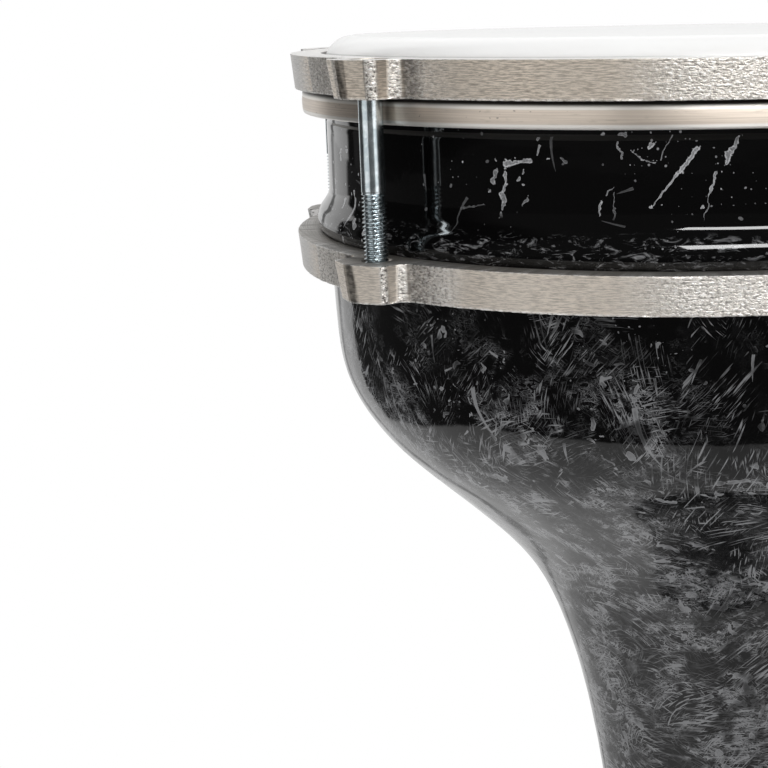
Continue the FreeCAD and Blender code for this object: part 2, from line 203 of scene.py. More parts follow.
# ------------------------------------------------------------------------------------------------ node material tools
class Sock:
    """An output socket that can be used in arithmetic."""
    def __init__(self, g, s):
        self.g, self.s = g, s

    def __add__(self, o): return self.g.m("ADD", self, o)
    def __radd__(self, o): return self.g.m("ADD", o, self)
    def __sub__(self, o): return self.g.m("SUBTRACT", self, o)
    def __rsub__(self, o): return self.g.m("SUBTRACT", o, self)
    def __mul__(self, o): return self.g.m("MULTIPLY", self, o)
    def __rmul__(self, o): return self.g.m("MULTIPLY", o, self)
    def __truediv__(self, o): return self.g.m("DIVIDE", self, o)


class Graph:
    def __init__(self, tree):
        self.t = tree
        self.n = 0

    def node(self, kind, **props):
        nd = self.t.nodes.new(kind)
        nd.location = (self.n % 40 * 180, -(self.n // 40) * 300)
        self.n += 1
        for k, v in props.items():
            setattr(nd, k, v)
        return nd

    def put(self, socket, value):
        if isinstance(value, Sock):
            self.t.links.new(value.s, socket)
        elif value is not None:
            if hasattr(value, "__len__") and len(value) == 3 and len(socket.default_value) == 4:
                value = tuple(value) + (1.0,)
            socket.default_value = value

    def m(self, op, a, b=None, c=None, clamp=False):
        nd = self.node("ShaderNodeMath", operation=op, use_clamp=clamp)
        self.put(nd.inputs[0], a)
        if b is not None:
            self.put(nd.inputs[1], b)
        if c is not None:
            self.put(nd.inputs[2], c)
        return Sock(self, nd.outputs[0])

    def v(self, op, a, b=None, scale=None):
        nd = self.node("ShaderNodeVectorMath", operation=op)
        self.put(nd.inputs[0], a)
        if b is not None:
            self.put(nd.inputs[1], b)
        if scale is not None:
            self.put(nd.inputs["Scale"], scale)
        return Sock(self, nd.outputs["Value"] if op in ("DOT_PRODUCT", "LENGTH", "DISTANCE") else nd.outputs["Vector"])

    def step(self, x, lo, hi, to0=0.0, to1=1.0):
        nd = self.node("ShaderNodeMapRange", interpolation_type="SMOOTHSTEP")
        for i, val in enumerate((x, lo, hi, to0, to1)):
            self.put(nd.inputs[i], val)
        return Sock(self, nd.outputs[0])

    def lin(self, x, lo, hi, to0=0.0, to1=1.0):
        nd = self.node("ShaderNodeMapRange", interpolation_type="LINEAR", clamp=True)
        for i, val in enumerate((x, lo, hi, to0, to1)):
            self.put(nd.inputs[i], val)
        return Sock(self, nd.outputs[0])

    def xyz(self, x, y, z):
        nd = self.node("ShaderNodeCombineXYZ")
        for i, val in enumerate((x, y, z)):
            self.put(nd.inputs[i], val)
        return Sock(self, nd.outputs[0])

    def split(self, vec):
        nd = self.node("ShaderNodeSeparateXYZ")
        self.put(nd.inputs[0], vec)
        return [Sock(self, o) for o in nd.outputs]

    def noise(self, vec, scale=1.0, detail=2.0, rough=0.5, distortion=0.0, color=False, dims="3D"):
        nd = self.node("ShaderNodeTexNoise", noise_dimensions=dims)
        self.put(nd.inputs["Vector"], vec)
        self.put(nd.inputs["Scale"], scale)
        self.put(nd.inputs["Detail"], detail)
        self.put(nd.inputs["Roughness"], rough)
        self.put(nd.inputs["Distortion"], distortion)
        return Sock(self, nd.outputs[1 if color else 0])

    def voronoi(self, vec, scale=1.0, feature="F1", randomness=1.0):
        nd = self.node("ShaderNodeTexVoronoi", voronoi_dimensions="3D", feature=feature)
        self.put(nd.inputs["Vector"], vec)
        self.put(nd.inputs["Scale"], scale)
        self.put(nd.inputs["Randomness"], randomness)
        return nd

    def mix(self, f, a, b, blend="MIX"):
        nd = self.node("ShaderNodeMix", data_type="RGBA", blend_type=blend)
        self.put(nd.inputs[0], f)
        self.put(nd.inputs[6], a)
        self.put(nd.inputs[7], b)
        return Sock(self, nd.outputs[2])

    def mixf(self, f, a, b):
        return self.m("ADD", self.m("MULTIPLY", self.m("SUBTRACT", 1.0, f), a), self.m("MULTIPLY", f, b))

    def bump(self, height, strength=1.0, distance=0.0001, normal=None):
        nd = self.node("ShaderNodeBump")
        self.put(nd.inputs["Strength"], strength)
        self.put(nd.inputs["Distance"], distance)
        self.put(nd.inputs["Height"], height)
        if normal is not None:
            self.put(nd.inputs["Normal"], normal)
        return Sock(self, nd.outputs[0])

    def attr(self, name):
        nd = self.node("ShaderNodeAttribute", attribute_name=name)
        return Sock(self, nd.outputs["Fac"])

    def position(self):
        """Object coordinates in millimetres."""
        nd = self.node("ShaderNodeTexCoord")
        return self.v("SCALE", Sock(self, nd.outputs["Object"]), scale=1000.0)

    def surface(self, **inputs):
        nd = self.t.nodes["Principled BSDF"]
        for key, val in inputs.items():
            self.put(nd.inputs[key.replace("_", " ")], val)
        return nd


def new_material(name):
    m = bpy.data.materials.new(name)
    m.use_nodes = True
    return m, Graph(m.node_tree)


def dress(ob, *mats):
    ob.data.materials.clear()
    for m in mats:
        ob.data.materials.append(m)


# ------------------------------------------------------------------------------------------------ materials
def coating_material():
    """Gloss black lacquer with silver-grey splatter: needles in sheaves, rimmed blobs, comet strokes and specks."""
    m, g = new_material("black_splatter_coating")
    P = g.position()
    px, py, pz = g.split(P)
    h = pz - TOP
    geo = g.node("ShaderNodeNewGeometry")
    N = Sock(g, geo.outputs["Normal"])
    Tv = g.v("NORMALIZE", g.v("CROSS_PRODUCT", (0.0, 0.0, 1.0), N))
    Bv = g.v("CROSS_PRODUCT", N, Tv)

    def cell(scale, seed):
        q = g.v("ADD", g.v("SCALE", P, scale=1.0 / scale), (seed * 7.31, seed * 3.17, seed * 5.73))
        vo = g.voronoi(q)
        L = g.v("SCALE", g.v("SUBTRACT", q, Sock(g, vo.outputs["Position"])), scale=scale)
        a, b = g.v("DOT_PRODUCT", L, Tv), g.v("DOT_PRODUCT", L, Bv)
        r1, r2, r3 = g.split(Sock(g, vo.outputs["Color"]))
        return a, b, r1, r2, r3, Sock(g, vo.outputs["Distance"])

    def turn(a, b, phi):
        c, s = g.m("COSINE", phi), g.m("SINE", phi)
        return a * c + b * s, b * c - a * s

    # how free the directions are: any way on the bowl, mostly level on the neck and foot
    neckness = g.step(h, -110.0, -165.0)
    spread = g.mixf(neckness, 6.28, 1.9)
    ang = g.m("ARCTAN2", py, px)
    # the same angle counted from the viewer's side, in degrees
    lx, ly = px * cs + py * sn, py * cs - px * sn
    va = g.m("MULTIPLY", g.m("ARCTAN2", lx, 0.0 - ly), 57.29578)
    collar = g.step(h, -50.6, -49.0)
    bead = g.step(h, -40.5, -43.5) * g.step(h, -50.5, -49.0)
    big = g.noise(P, scale=0.030, detail=1.5, rough=0.6)
    bare = g.step(va, -9.0, -3.0) * g.step(va, 40.0, 28.0) * g.step(h, -104.0, -92.0) * g.step(h, -50.0, -60.0)
    bare = g.m("MAXIMUM", bare, g.step(va, -12.0, -4.0) * g.step(va, 40.0, 28.0) * g.step(h, -140.0, -135.0) * g.step(h, -104.0, -112.0) * 0.86)
    bare = g.m("MAXIMUM", bare, g.step(va, -33.0, -38.0) * g.step(va, -58.0, -50.0) * g.step(h, -96.0, -86.0) * 0.6)
    gap = g.step(big, 0.38, 0.52) * 0.68 + 0.32
    dens = g.step(h, -56.0, -84.0, 0.42, 1.0) * g.mixf(neckness, gap, 1.0) * (1.0 - bare * 0.86)
    dens = g.mixf(collar, dens, -0.6)

    def needles(scale, length, width, seed, lo, hi, curve):
        a, b, r1, r2, r3, d = cell(scale, seed)
        a, b = turn(a, b, (r1 - 0.5) * spread)
        b = b + (r2 - 0.5) * (neckness * 1.3 + 0.35) * curve * a * a
        n = g.noise(g.xyz(a * (1.0 / length), b * (1.0 / width), r3 * 41.0), detail=1.0, rough=0.6)
        keep = g.step(d, 0.82, 0.40) * g.step(r3 + dens, 0.80, 1.06)
        return g.step(n, lo, hi) * keep * (r2 * 0.75 + 0.40)

    n1 = needles(16.0, 7.5, 0.50, 1.0, 0.575, 0.67, 0.09)
    n2 = needles(11.0, 5.0, 0.38, 2.0, 0.575, 0.68, 0.12)
    n3 = needles(21.0, 10.5, 0.72, 3.0, 0.60, 0.69, 0.05)
    n4 = needles(7.0, 3.4, 0.30, 4.0, 0.585, 0.70, 0.20)
    sheaf = g.m("MAXIMUM", g.m("MAXIMUM", n1, n2), g.m("MAXIMUM", n3 * 1.1, n4 * 0.8))

    # blobs with bright rims, in clusters
    warp = g.noise(P, scale=0.11, detail=2.0, color=True)
    Pw = g.v("ADD", P, g.v("SCALE", g.v("SUBTRACT", warp, (0.5, 0.5, 0.5)), scale=9.0))
    Pw = g.v("MULTIPLY", Pw, (1.0, 1.0, 1.15))
    bv = g.noise(Pw, scale=0.27, detail=1.6, rough=0.55)
    cluster = g.noise(P, scale=0.042, detail=1.0)
    # the viewer's front of the collar carries its own marks, listed below
    own = g.step(va, -46.0, -43.0) * g.step(va, 12.0, 9.0) * collar
    thr = g.mixf(collar, g.m("ADD", 0.595, (1.0 - dens) * 0.07), 0.665)
    fill = g.step(bv - thr, 0.0, 0.012)
    core = g.step(bv - thr, 0.018, 0.05)
    blob = fill * g.mixf(core, 0.95, 0.50) * g.step(cluster, g.mixf(collar, 0.43, 0.52), g.mixf(collar, 0.52, 0.56)) * (1.0 - own)

    # comet strokes
    def comets(scale, length, width, seed, cover):
        a, b, r1, r2, r3, d = cell(scale, seed)
        a, b = turn(a, b, (r1 - 0.5) * g.mixf(neckness, 2.6, 1.2) + g.mixf(neckness, 0.95, 0.0))
        b = b + (r3 - 0.5) * 0.05 * a * a
        ln = (r3 * 0.8 + 0.4) * length
        t = (a + ln * 0.5) / ln
        w = g.m("MULTIPLY", g.m("POWER", g.m("MAXIMUM", t, 0.0), 0.65), width) * (r2 * 0.7 + 0.45)
        ragged = g.noise(g.xyz(a * 0.9, b * 2.2, r3 * 13.0), detail=1.0) * 0.9 - 0.45
        inside = g.step(g.m("ABSOLUTE", b) - w + ragged * w, 0.05, -0.07) * g.step(t, 0.0, 0.04) * g.step(t, 1.0, 0.985)
        rim = g.step(g.m("ABSOLUTE", b) / g.m("MAXIMUM", w, 0.02), 0.35, 0.8, 0.62, 1.0)
        return inside * rim * g.step(r2, 1.0 - cover, 1.0 - cover + 0.01)
    comet = g.m("MAXIMUM", comets(22.0, 15.0, 0.62, 5.0, 0.26) * (1.0 - own), comets(12.0, 7.0, 0.36, 6.0, 0.36) * (1.0 - collar * 0.8))

    # round drops and specks
    def drops(scale, rmax, seed, cover):
        a, b, r1, r2, r3, d = cell(scale, seed)
        a, b = turn(a, b, r1 * 6.28)
        dist = g.m("SQRT", a * a + b * b * (r1 * 1.3 + 1.0))
        r = r2 * r2 * rmax + 0.07
        return g.step(dist - r, 0.05, -0.05) * g.step(r3, 1.0 - cover, 1.01 - cover) * (r1 * 0.5 + 0.5)
    speck = g.m("MAXIMUM", drops(6.5, 0.62, 7.0, 0.20) * (1.0 - own * 0.7), drops(1.9, 0.24, 8.0, 0.26) * g.step(cluster, 0.47, 0.58, 0.0, 1.0))

    # fine grey haze and foam between the strokes of the bowl and neck
    haze = g.noise(P, scale=0.085, detail=3.0, rough=0.65)
    foam = g.noise(g.v("MULTIPLY", P, (1.0, 1.0, 1.9)), scale=0.42, detail=3.5, rough=0.62, distortion=0.9)
    wisp = g.step(g.m("ABSOLUTE", foam - 0.5), 0.040, 0.010)
    hz = g.m("MAXIMUM", g.step(foam, 0.53, 0.64) * 0.36, wisp) * g.step(haze, 0.46, 0.58) * dens * g.mixf(collar, 0.95, 0.0)

    # the bead: smeared, sideways
    sm = g.noise(g.xyz(ang * 20.0, h * 0.50, h * 0.06 + 3.0), detail=4.0, rough=0.7, distortion=1.6)
    smear = g.step(sm, 0.53, 0.72) * bead * 0.50

    # single splashes on the collar: arc position and height of both ends, half-widths, strength
    S = va * (112.3 * math.pi / 180.0)
    wob = g.noise(g.xyz(S * 1.0, h * 1.0, 2.0), scale=1.3, detail=1.5)
    wob2 = g.noise(g.xyz(S * 1.0, h * 1.0, 9.0), scale=0.42, detail=1.0)
    fine = g.noise(g.xyz(S * 1.0, h * 1.0, 5.0), scale=3.1, detail=1.5)
    ragged_edge = (wob - 0.5) * 1.9 + (fine - 0.5) * 0.9
    SH = g.xyz(S + (wob2 - 0.5) * 2.2 + (wob - 0.5) * 0.7, h + (wob - 0.5) * 1.3, 0.0)
    hero = None
    for s0, h0, s1, h1, w0, w1, amp in SPLASHES:
        L = math.hypot(s1 - s0, h1 - h0)
        ux, uy = ((s1 - s0) / L, (h1 - h0) / L) if L > 0 else (1.0, 0.0)
        q = g.v("SUBTRACT", SH, (s0, h0, 0.0))
        t = g.lin(g.v("DOT_PRODUCT", q, (ux, uy, 0.0)), 0.0, max(L, 0.01))
        dist = g.v("LENGTH", g.v("SUBTRACT", q, g.v("SCALE", (ux * L, uy * L, 0.0), scale=t)))
        w = g.m("MULTIPLY_ADD", t, w1 - w0, w0)
        edge = dist / w + ragged_edge
        val = g.step(edge, 1.08, 0.90) * g.step(edge, 0.30, 0.80, 0.42 * amp, 1.0 * amp)
        hero = val if hero is None else g.m("MAXIMUM", hero, val)
    hero = hero * g.step(fine, 0.30, 0.66, 0.66, 1.12) * g.step(h, -38.5, -36.5) * g.step(g.m("ABSOLUTE", va), 80.0, 60.0)

    marks = g.m("MAXIMUM", g.m("MAXIMUM", sheaf, blob), g.m("MAXIMUM", comet * 0.95, speck * 0.9))
    marks = g.m("MAXIMUM", g.m("MAXIMUM", marks, smear), g.m("MAXIMUM", hz, hero))
    tone = g.step(g.noise(P, scale=0.14, detail=2.5, rough=0.6), 0.38, 0.62, g.mixf(collar, 0.30, 0.85), g.mixf(collar, 1.75, 1.1))
    level = g.m("MULTIPLY", marks, tone, clamp=True)

    grey = g.mixf(collar, g.mixf(neckness, 0.235, 0.235), 0.62)
    lo = g.xyz(0.0016, 0.0015, 0.0016)
    base = g.mix(level, lo, g.xyz(grey, grey * 1.01, grey * 1.045))
    Pb = g.position()
    collar_b = g.step(g.split(Pb)[2], TOP - 50.6, TOP - 49.0)
    orange_peel = g.noise(Pb, scale=0.16, detail=1.0) * 0.7 + g.noise(Pb, scale=0.9, detail=1.0) * 0.08
    nrm = g.bump(orange_peel * g.mixf(collar_b, 1.0, 0.45), strength=0.30, distance=0.00022)
    rough = g.m("MULTIPLY", marks, 0.20, clamp=True) + 0.045
    g.surface(Base_Color=base, Roughness=rough, IOR=1.5, Normal=nrm)
    return m


SPLASHES = [
(-51.21, -25.27, -47.6, -24.5, 0.80, 0.50, 1),
(-47.6, -24.5, -44.98, -24.35, 0.36, 0.55, 1),
(-51.58, -26.82, -52.05, -31.75, 0.38, 0.5, 1),
(-52.4, -32.8, -52.83, -35.95, 0.95, 0.55, 0.8),
(-53.22, -37.01, -53.36, -40.67, 0.45, 0.32, 0.7),
(-54.65, -26.67, -55.09, -29.79, 0.3, 0.5, 0.8),
(-54.27, -24.33, -54.27, -24.33, 0.4, 0.4, 0.9),
(-56.42, -31.65, -56.97, -31.92, 0.42, 0.42, 0.8),
(-46.78, -27.21, -46.78, -27.21, 0.3, 0.3, 0.9),
(-47.74, -28.79, -48.69, -28.98, 0.42, 0.3, 0.8),
(-46.88, -30.05, -46.88, -30.05, 0.25, 0.25, 0.9),
(-42.46, -19.19, -42.46, -19.19, 0.34, 0.34, 0.9),
(-41.85, -20.72, -42.58, -23.02, 0.4, 0.18, 0.9),
(-39.95, -23.73, -39.95, -23.73, 0.24, 0.24, 0.9),
(-30.91, -39.73, -30.76, -39.78, 0.5, 0.5, 1.5),
(-15.1, -20.96, -13.93, -19.97, 0.38, 0.5, 1.2),
(-3.84, -21.15, -10.31, -29.47, 0.62, 0.25, 1.2),
(-10.31, -29.47, -14.38, -34.9, 0.25, 0.08, 1.1),
(-14.5, -34.81, -14.5, -34.81, 0.36, 0.36, 1.2),
(6.18, -18.59, 4.44, -21.52, 0.3, 0.75, 1.1),
(4.44, -21.52, 2.61, -24.76, 0.75, 0.45, 1.2),
(0.55, -27.24, -1.29, -32.36, 0.36, 0.14, 1.2),
(-1.29, -32.36, -2.88, -38.75, 0.12, 0.06, 0.8),
(-2.82, -34.98, -3.19, -35.05, 0.32, 0.3, 1.1),
(-19.21, -21.55, -16.7, -23.82, 0.11, 0.14, 0.8),
(-16.7, -23.82, -13.72, -24.43, 0.14, 0.18, 0.8),
(-12.79, -23.83, -10.82, -20.82, 0.18, 0.1, 0.7),
(-10.82, -20.82, -9.77, -18.58, 0.08, 0.2, 0.8),
(-22.25, -20.04, -21.57, -23.56, 0.34, 0.2, 0.8),
(-26.1, -17.78, -25.72, -17.9, 0.36, 0.3, 0.6),
(-22.46, -17.78, -20.92, -18.24, 0.32, 0.4, 0.7),
(-26.51, -33.96, -27.37, -37.04, 0.42, 0.1, 1.0),
(-23.79, -30.13, -25.42, -32.16, 0.09, 0.2, 0.7),
(-23.56, -31.65, -23.71, -37.73, 0.1, 0.2, 0.45),
(-45.52, -33.36, -47.36, -35.22, 0.4, 0.07, 0.55),
(-57.84, -35.11, -65.04, -36.56, 0.12, 0.2, 0.35),
(-36.82, -23.5, -35.31, -24.42, 0.3, 0.45, 0.5),
]


def inner_metal_material():
    """Bare cast aluminium inside the shell."""
    m, g = new_material("bare_cast_inside")
    P = g.position()
    n1 = g.noise(P, scale=0.6, detail=4.0, rough=0.6)
    n2 = g.noise(P, scale=0.05, detail=2.0)
    col = g.mix(g.step(n1, 0.3, 0.75), (0.20, 0.195, 0.185), (0.42, 0.41, 0.39))
    col = g.mix(g.step(n2, 0.42, 0.66) * 0.5, col, (0.30, 0.28, 0.25))
    px, py, pz = g.split(P)
    rings = g.m("SINE", pz * 4.2 + n2 * 5.0) * 0.5 + 0.5
    nrm = g.bump(n1 + rings * 0.25, strength=0.6, distance=0.0003)
    g.surface(Base_Color=col, Metallic=0.55, Roughness=g.mixf(n1, 0.42, 0.66), Normal=nrm)
    return m


def grain_tangent(g, P):
    """A direction across the horizontal tool marks: upright on the sides, outward on the flat faces."""
    px, py, pz = g.split(P)
    return g.v("NORMALIZE", g.xyz(px * 0.0004, py * 0.0004, 1.0))


def ring_material():
    """Cast and sawn aluminium: warm grey, fine level ticks, pitted patches at the corners with painted glints, painted
    edge highlights, and painted shade and painted reflections on some faces.
    """
    m, g = new_material("sawn_cast_aluminium")
    P = g.position()
    px, py, pz = g.split(P)
    geo = g.node("ShaderNodeNewGeometry")
    N = Sock(g, geo.outputs["Normal"])
    nx, ny, nz = g.split(N)
    arc = g.attr("arc")
    rough_and_glint_at = g.attr("rough")
    painted_shade_at = g.attr("painted_shade")
    painted_edge_highlight_at = g.attr("edge")
    top = g.step(g.m("ABSOLUTE", nz), 0.55, 0.85)
    # fine level ticks on the sides
    ticks = g.noise(g.xyz(arc * 0.34, pz * 3.1, 0.0), detail=3.0, rough=0.68)
    lines = g.noise(g.xyz(arc * 0.06, pz * 6.5, 7.0), detail=2.0, rough=0.6)
    # lathe-like arcs on the flat faces
    rad = g.m("SQRT", px * px + py * py)
    faceline = g.noise(g.xyz(g.m("ARCTAN2", py, px) * 5.0, rad * 2.2, 0.0), detail=2.0, rough=0.6)
    pits = g.noise(g.xyz(arc * 0.95, pz * 1.75, 3.0), detail=3.5, rough=0.68)
    fine = g.mixf(top, ticks, faceline)
    col = g.mix(g.step(fine, 0.40, 0.60), (0.47, 0.405, 0.335), (0.88, 0.785, 0.675))
    col = g.mix(g.step(lines, 0.52, 0.70) * 0.40, col, (0.95, 0.88, 0.79))
    # rough patches turn a lighter neutral grey: partly the metal's own tone, partly a painted highlight
    col = g.mix(rough_and_glint_at * 0.65, col, (0.84, 0.82, 0.79))
    col = g.mix(g.step(ticks, 0.40, 0.30) * (1.0 - top) * 0.62, col, (0.20, 0.17, 0.14))
    cloud = g.noise(P, scale=0.055, detail=2.0)
    col = g.mix(g.step(cloud, 0.35, 0.7) * 0.25, col, (0.72, 0.66, 0.58))
    upper_one = g.step(pz, TOP - 14.0, TOP - 11.0)
    col = g.mix((1.0 - upper_one) * g.mixf(rough_and_glint_at, 0.22, 0.50), col, (1.0, 0.955, 0.90))
    # painted reflection at the viewer's left end of the ring: a white edge, then grey
    side_x = px * cs + py * sn
    painted_left_end_reflection = g.step(side_x, -103.0, -112.0) * (1.0 - top)
    col = g.mix(painted_left_end_reflection * 0.75, col, g.mix(g.step(side_x, -119.5, -116.0), (0.92, 0.92, 0.92), (0.50, 0.50, 0.50)))
    pitted = g.step(pits, 0.50, 0.40) * rough_and_glint_at
    col = g.mix(pitted * g.step(rough_and_glint_at, 0.86, 0.97, 0.62, 0.95), col, (0.10, 0.085, 0.075))
    # painted glints: white specks in the rough patches
    glint = g.step(pits, 0.53, 0.62) * rough_and_glint_at
    col = g.mix(glint, col, (1.0, 0.99, 0.97))
    # painted shade and painted dark reflections: shade in the bore and the bolt holes, dark reflections beside the ears
    # and at the left end
    col = g.mix(painted_shade_at * 0.85, col, (0.030, 0.027, 0.025))
    # painted reflections on upward faces: the tension ring's top face whitened as a painted highlight, the counter
    # ring's top face darkened as a painted reflection of the black bead above it
    up_face = top * g.step(nz, 0.0, 0.5)
    col = g.mix(up_face * upper_one * 0.9, col, (1.0, 0.99, 0.975))
    col = g.mix(up_face * (1.0 - upper_one) * 0.72, col, (0.085, 0.083, 0.08))
    # painted highlights: bright specks along the rounded edges
    col = g.mix(painted_edge_highlight_at * g.step(pits, 0.40, 0.52), col, (1.0, 0.99, 0.97))
    height = ticks * 0.55 + lines * 0.5 + rough_and_glint_at * pits * 2.6 + top * faceline * 0.3
    nrm = g.bump(height, strength=0.75, distance=0.00020)
    rg = g.mixf(rough_and_glint_at, 0.46, 0.32)
    g.surface(Base_Color=col, Metallic=0.80, Roughness=rg, Anisotropic=g.mixf(g.m("MAXIMUM", rough_and_glint_at, top), 0.85, 0.2), Tangent=grain_tangent(g, P), Normal=nrm)
    return m


def hoop_material():
    m, g = new_material("rolled_aluminium")
    P = g.position()
    px, py, pz = g.split(P)
    h = pz - TOP
    ang = g.m("ARCTAN2", py, px)
    lines = g.noise(g.xyz(ang * 3.0, pz * 3.2, 1.0), detail=3.0, rough=0.6)
    scuff = g.noise(g.xyz(ang * 22.0, pz * 0.9, 5.0), detail=2.0, rough=0.6)
    nick = g.noise(g.xyz(ang * 60.0, pz * 0.7, 9.0), detail=1.0)
    col = g.mix(g.step(lines, 0.35, 0.68), (0.69, 0.60, 0.515), (0.83, 0.735, 0.635))
    col = g.mix(g.step(scuff, 0.60, 0.74) * 0.4, col, (0.50, 0.44, 0.36))
    col = g.mix(g.step(nick, 0.72, 0.76) * 0.6, col, (0.16, 0.13, 0.11))
    # painted highlights: a bright band under the top roll and a bright bottom lip; painted shadow: the dark top edge
    # under the ring
    col = g.mix(g.step(h, -12.0, -11.6) * 0.75, col, (1.0, 0.98, 0.94))
    col = g.mix(g.step(h, -15.0, -15.5) * 0.8, col, (1.0, 0.985, 0.95))
    col = g.mix(g.step(h, -11.5, -10.35) * 0.985, col, (0.012, 0.010, 0.009))
    nrm = g.bump(lines * 0.7 + scuff * 0.3, strength=0.5, distance=0.00008)
    g.surface(Base_Color=col, Metallic=0.92, Roughness=g.mixf(lines, 0.40, 0.48), Anisotropic=0.8, Tangent=grain_tangent(g, P), Normal=nrm)
    return m


def film_material():
    m, g = new_material("white_polyester_film")
    P = g.position()
    px, py, pz = g.split(P)
    n = g.noise(P, scale=0.6, detail=3.0, rough=0.6)
    wear = g.noise(P, scale=0.018, detail=3.0)
    rad = g.m("SQRT", px * px + py * py)
    lw = g.node("ShaderNodeLayerWeight")
    # painted sheen: the colour turns whiter where the film is seen at a grazing angle
    painted_grazing_sheen = g.step(Sock(g, lw.outputs["Facing"]), 0.45, 0.85)
    col = g.mix(g.step(wear, 0.40, 0.75) * 0.4, (0.815, 0.815, 0.812), (0.755, 0.752, 0.742))
    col = g.mix(painted_grazing_sheen, col, (0.985, 0.985, 0.98))
    # the clear margin turns slightly grey over the bearing edge
    col = g.mix(g.step(rad, 104.5, 111.6) * 0.10, col, (0.60, 0.60, 0.59))
    # painted shadow: the film turns almost black from just above the ring's top face downward, in the gap inside the
    # ring's bore
    col = g.mix(g.step(pz, TOP + 0.35, TOP - 0.6) * 0.9, col, (0.05, 0.05, 0.05))
    nrm = g.bump(n, strength=0.12, distance=0.00006)
    g.surface(Base_Color=col, Roughness=g.mixf(n, 0.20, 0.28), IOR=1.57, Normal=nrm)
    return m


def resin_material():
    m, g = new_material("potting_resin")
    P = g.position()
    n = g.noise(P, scale=0.3, detail=3.0)
    col = g.mix(g.step(n, 0.35, 0.7), (0.62, 0.55, 0.38), (0.82, 0.76, 0.62))
    nrm = g.bump(n, strength=0.3, distance=0.0002)
    g.surface(Base_Color=col, Roughness=0.22, IOR=1.55, Normal=nrm)
    return m


def zinc_material():
    m, g = new_material("blue_zinc_plate")
    P = g.position()
    px, py, pz = g.split(P)
    stain = g.noise(P, scale=0.35, detail=3.0, rough=0.6)
    draw = g.noise(g.xyz(px * 5.0, py * 5.0, pz * 0.12), detail=2.0)
    col = g.mix(g.step(stain, 0.38, 0.68), (0.50, 0.57, 0.60), (0.74, 0.80, 0.825))
    col = g.mix(g.step(draw, 0.55, 0.75) * 0.3, col, (0.36, 0.42, 0.47))
    # painted shade in the socket and the knurl, and in the thread's root
    col = g.mix(g.attr("shade") * 0.65, col, (0.10, 0.12, 0.13))
    nrm = g.bump(draw * 0.6 + stain * 0.4, strength=0.35, distance=0.00006)
    g.surface(Base_Color=col, Metallic=1.0, Roughness=g.mixf(stain, 0.20, 0.28), Anisotropic=g.step(pz, TOP - 34.0, TOP - 31.5) * 0.5, Tangent=grain_tangent(g, P), Normal=nrm)
    return m


M_COAT, M_INSIDE, M_RING = coating_material(), inner_metal_material(), ring_material()
M_HOOP, M_FILM, M_RESIN, M_ZINC = hoop_material(), film_material(), resin_material(), zinc_material()


# ------------------------------------------------------------------------------------------------ goblet shell
PROFILE = [
    (-62, 112.300), (-68, 112.051), (-74, 111.764), (-80, 111.380), (-86, 110.684), (-92, 109.209), (-98, 106.642),
    (-104, 103.000), (-110, 98.314), (-116, 92.501), (-122, 86.029), (-128, 79.520), (-134, 73.223), (-140, 67.302),
    (-146, 62.102), (-152, 57.819), (-158, 54.394), (-164, 51.644), (-170, 49.347), (-176, 47.345), (-182, 45.569),
    (-188, 43.993), (-194, 42.595), (-200, 41.350), (-212, 39.228), (-224, 37.523), (-236, 36.241), (-248, 35.412),
    (-260, 35.029), (-272, 35.055), (-284, 35.474), (-296, 36.305), (-308, 37.598), (-320, 39.401), (-332, 41.752),
    (-344, 44.719), (-356, 48.492), (-368, 53.384), (-380, 59.632), (-392, 67.205), (-404, 75.543), (-414, 82.214),
]
WALL = 4.0


